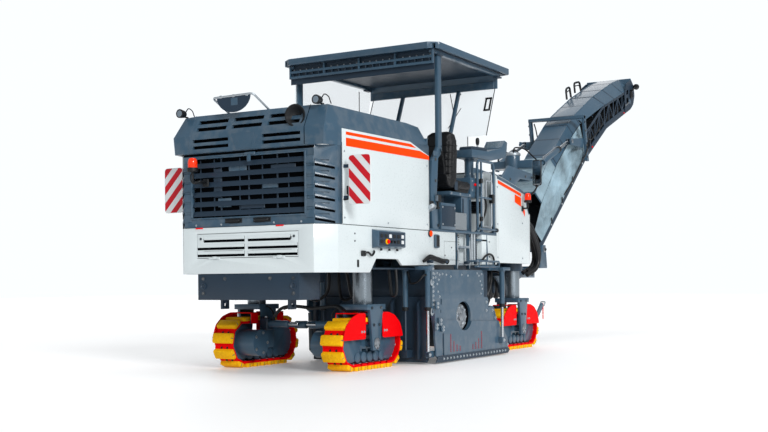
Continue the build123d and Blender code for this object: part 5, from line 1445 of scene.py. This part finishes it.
def make_underbody():
    """Hoses, steering rams, front hook with its chain, and conveyor fasteners."""
    arch = [(0.244, 0.60), (0.149, 0.685), (0.02, 0.712), (-0.13, 0.706), (-0.27, 0.690), (-0.453, 0.704),
            (-0.592, 0.712), (-0.683, 0.662)]
    line = Shape()
    line.hose([(-5.2, y, z) for y, z in arch], 0.019)
    line.hose([(-5.15, y, z - 0.001) for y, z in arch[1:]], 0.017)
    line.make("leg_hoses", "leg_rear_right")

    low = Shape()
    for path in ([(-0.115, 1.12), (-0.115, 0.949), (-0.072, 0.843), (0.042, 0.772), (0.16, 0.80),
                  (0.20, 0.95), (0.2, 1.12)],
                 [(-0.36, 1.12), (-0.404, 0.90), (-0.42, 0.80), (-0.30, 0.78), (-0.26, 0.92), (-0.25, 1.12)],
                 [(-0.93, 1.12), (-0.95, 0.93), (-0.968, 0.83), (-1.02, 0.84), (-1.03, 0.95), (-1.02, 1.12)]):
        low.hose([(-4.6, y, z) for y, z in path], 0.018)
    for y in (-0.2, 0.15):
        low.box((-5.0, -4.9), about(y, 0.05), (0.98, 1.12), "slate_shaded", 0.006)
    bundle = [(-0.2, -0.55, 1.95), (0.30, -0.60, 1.86), (0.60, -0.60, 1.62), (0.72, -0.60, 1.38),
              (0.66, -0.58, 1.22), (0.50, -0.50, 1.12)]
    for dx, dy in ((0, 0), (-0.085, -0.02), (-0.03, 0.07)):
        low.hose([(x + dx, y + dy, z + dx * 0.6) for x, y, z in bundle], 0.036, 14)
    low.make("rear_hoses", "machine")

    for name, side in (("rear_left", 1), ("rear_right", -1)):
        ram = Shape()
        x = -4.99
        ram.rod((x, side * 0.50, 0.50), (x, side * 0.20, 0.50), 0.040, "slate")
        ram.rod((x, side * 0.20, 0.50), (x, side * 0.06, 0.50), 0.018, "chrome", 16)
        ram.box(about(x, 0.06), span(side * 0.46, side * 0.57), (0.43, 0.57), "slate_shaded", 0.008)
        ram.bolts([(x, side * 0.515, 0.57)], up, 0.02, "steel")
        hose = ((0, 0.42, 0.536), (0, 0.41, 0.62), (0.02, 0.48, 0.69), (0.06, 0.56, 0.70), (0.09, 0.60, 0.68))
        ram.hose([(x + dx, side * y, z) for dx, y, z in hose], 0.011)
        ring = oval(-5.263, track_mid, 0.12, 0.12, 0, 5, 5)
        ram.bolts([(p.x, side * 0.389, p.y) for p in ring], (0, -side, 0), 0.013, "steel")
        ram.make("steering_ram_" + name, "track_" + name)

    hook = Shape()
    x, y = 0.02, -0.86
    plate = ((-0.06, 0.40), (0.03, 0.46), (0.16, 0.56), (0.19, 0.63), (0.14, 0.65), (0.06, 0.60),
             (-0.05, 0.50))
    hook.slab([(x + dx, z) for dx, z in plate], "Y", *about(y, 0.012), "slate", 0.004, 0.02)
    loop = ((0.16, -0.035, 0.60), (0.21, -0.035, 0.66), (0.21, 0.035, 0.66), (0.16, 0.035, 0.60))
    hook.bar([(x + dx, y + dy, z) for dx, dy, z in loop], 0.02, 0.011, "zinc")
    for k in range(9):
        turned = (0, 0.009) if k % 2 else (0.009, 0)
        ring = [(x + 0.2 + turned[0] * math.cos(t), y + turned[1] * math.cos(t),
                 0.62 - k * 0.026 + 0.018 * math.sin(t))
                for t in (math.tau * n / 10 for n in range(11))]
        hook.tube(ring, 0.004, "red", 6)
    hook.make("front_hook", "track_front_right")

    box = Shape()
    box.bolts([(-1.8 + k * 0.3, -0.27, 1.015 + k * 0.145) for k in range(10)], right, 0.012, "dark_steel")
    box.slab([(-2.1, 0.93), (0.9, 2.38), (0.9, 2.33), (-2.08, 0.89)], "Y", -0.285, -0.27, "slate_shaded", 0.003)
    places = ((-0.25, 1.25), (-0.25, 1.6), (-0.25, 2.0), (0.9, 1.08), (1.15, 1.08), (0.9, 2.64), (1.15, 2.64),
              (0.3, 2.55))
    box.bolts([(x, -0.305, z) for x, z in places], right, 0.015, "dark_steel")
    box.mirrored()
    for side in (-1, 1):
        for k in range(3):
            off = k * 0.035
            points = ((-0.30, 0.34 + off, 2.2), (-0.12, 0.36 + off, 2.05), (-0.08, 0.37 + k * 0.03, 1.7),
                      (-0.14, 0.36 + off, 1.35), (-0.30, 0.34 + off, 1.25))
            box.hose([(x, side * y, z) for x, y, z in points], 0.014)
    box.slab([(0.70, 1.66), (1.06, 1.83), (1.06, 2.31), (0.92, 2.36), (0.70, 2.27)], "Y", -0.268, -0.2715,
             "slate", 0.001)
    box.make("bracket_fittings", "machine")


def make_camera():
    data = bpy.data.cameras.new("camera")
    data.sensor_width = sensor_mm
    data.lens = focal_px * sensor_mm / picture_width_px
    data.shift_y = (principal_row_px - picture_height_px / 2) / picture_width_px
    data.clip_end = 200
    obj = bpy.data.objects.new("camera", data)
    bpy.context.scene.collection.objects.link(obj)
    obj.rotation_mode = "XYZ"
    obj.location = camera_at
    level = Vector((math.cos(math.radians(camera_heading)), math.sin(math.radians(camera_heading)), 0))
    turn = level.to_track_quat("-Z", "Y")
    obj.rotation_euler = (turn @ Quaternion((0, 0, 1), math.radians(camera_roll))).to_euler()
    bpy.context.scene.camera = obj


floor_half = 60
floor_white = 0.92
floor_glow = 0.13


def make_floor():
    """Wide white floor, a little brighter than its light makes it."""
    mesh = bpy.data.meshes.new("floor")
    ends = (-floor_half, floor_half)
    mesh.from_pydata([(x, y, 0) for y in ends for x in ends], [], [(0, 1, 3, 2)])
    obj = bpy.data.objects.new("floor", mesh)
    bpy.context.scene.collection.objects.link(obj)
    mat = bpy.data.materials.new("floor")
    mat.use_nodes = True
    shader = mat.node_tree.nodes["Principled BSDF"]
    shader.inputs["Base Color"].default_value = (floor_white, floor_white, floor_white, 1)
    shader.inputs["Emission Color"].default_value = (1, 1, 1, 1)
    shader.inputs["Emission Strength"].default_value = floor_glow
    mesh.materials.append(mat)


def make_light():
    """White studio: a bright backdrop, soft light all round and suns, the strongest from the right."""
    world = bpy.data.worlds.new("studio")
    world.use_nodes = True
    tree = world.node_tree
    sky = tree.nodes["Background"]
    sky.inputs["Color"].default_value = (0.93, 0.97, 1.0, 1)
    seen = tree.nodes.new("ShaderNodeLightPath")
    level = tree.nodes.new("ShaderNodeMapRange")
    level.inputs["To Min"].default_value = ambient
    level.inputs["To Max"].default_value = backdrop
    tree.links.new(seen.outputs["Is Camera Ray"], level.inputs["Value"])
    tree.links.new(level.outputs["Result"], sky.inputs["Strength"])
    scene = bpy.context.scene
    scene.world = world
    scene.view_settings.view_transform = "Standard"
    for name, towards, strength, size in suns:
        data = bpy.data.lights.new(name, "SUN")
        data.energy = strength
        data.angle = math.radians(size)
        obj = bpy.data.objects.new(name, data)
        obj.rotation_euler = Vector(towards).to_track_quat("Z", "Y").to_euler()
        scene.collection.objects.link(obj)


for build in (make_camera, make_floor, make_light, dress_nodes, make_tracks, make_hood_sides, make_hood_rear,
              make_hood_lights, make_body_details, make_side_plate, make_ram_fittings, make_seat,
              make_console, make_deck, make_rails, make_canopy, make_front_body, make_cover, make_boom,
              make_slew, make_tarps, make_drum, make_underbody):
    build()
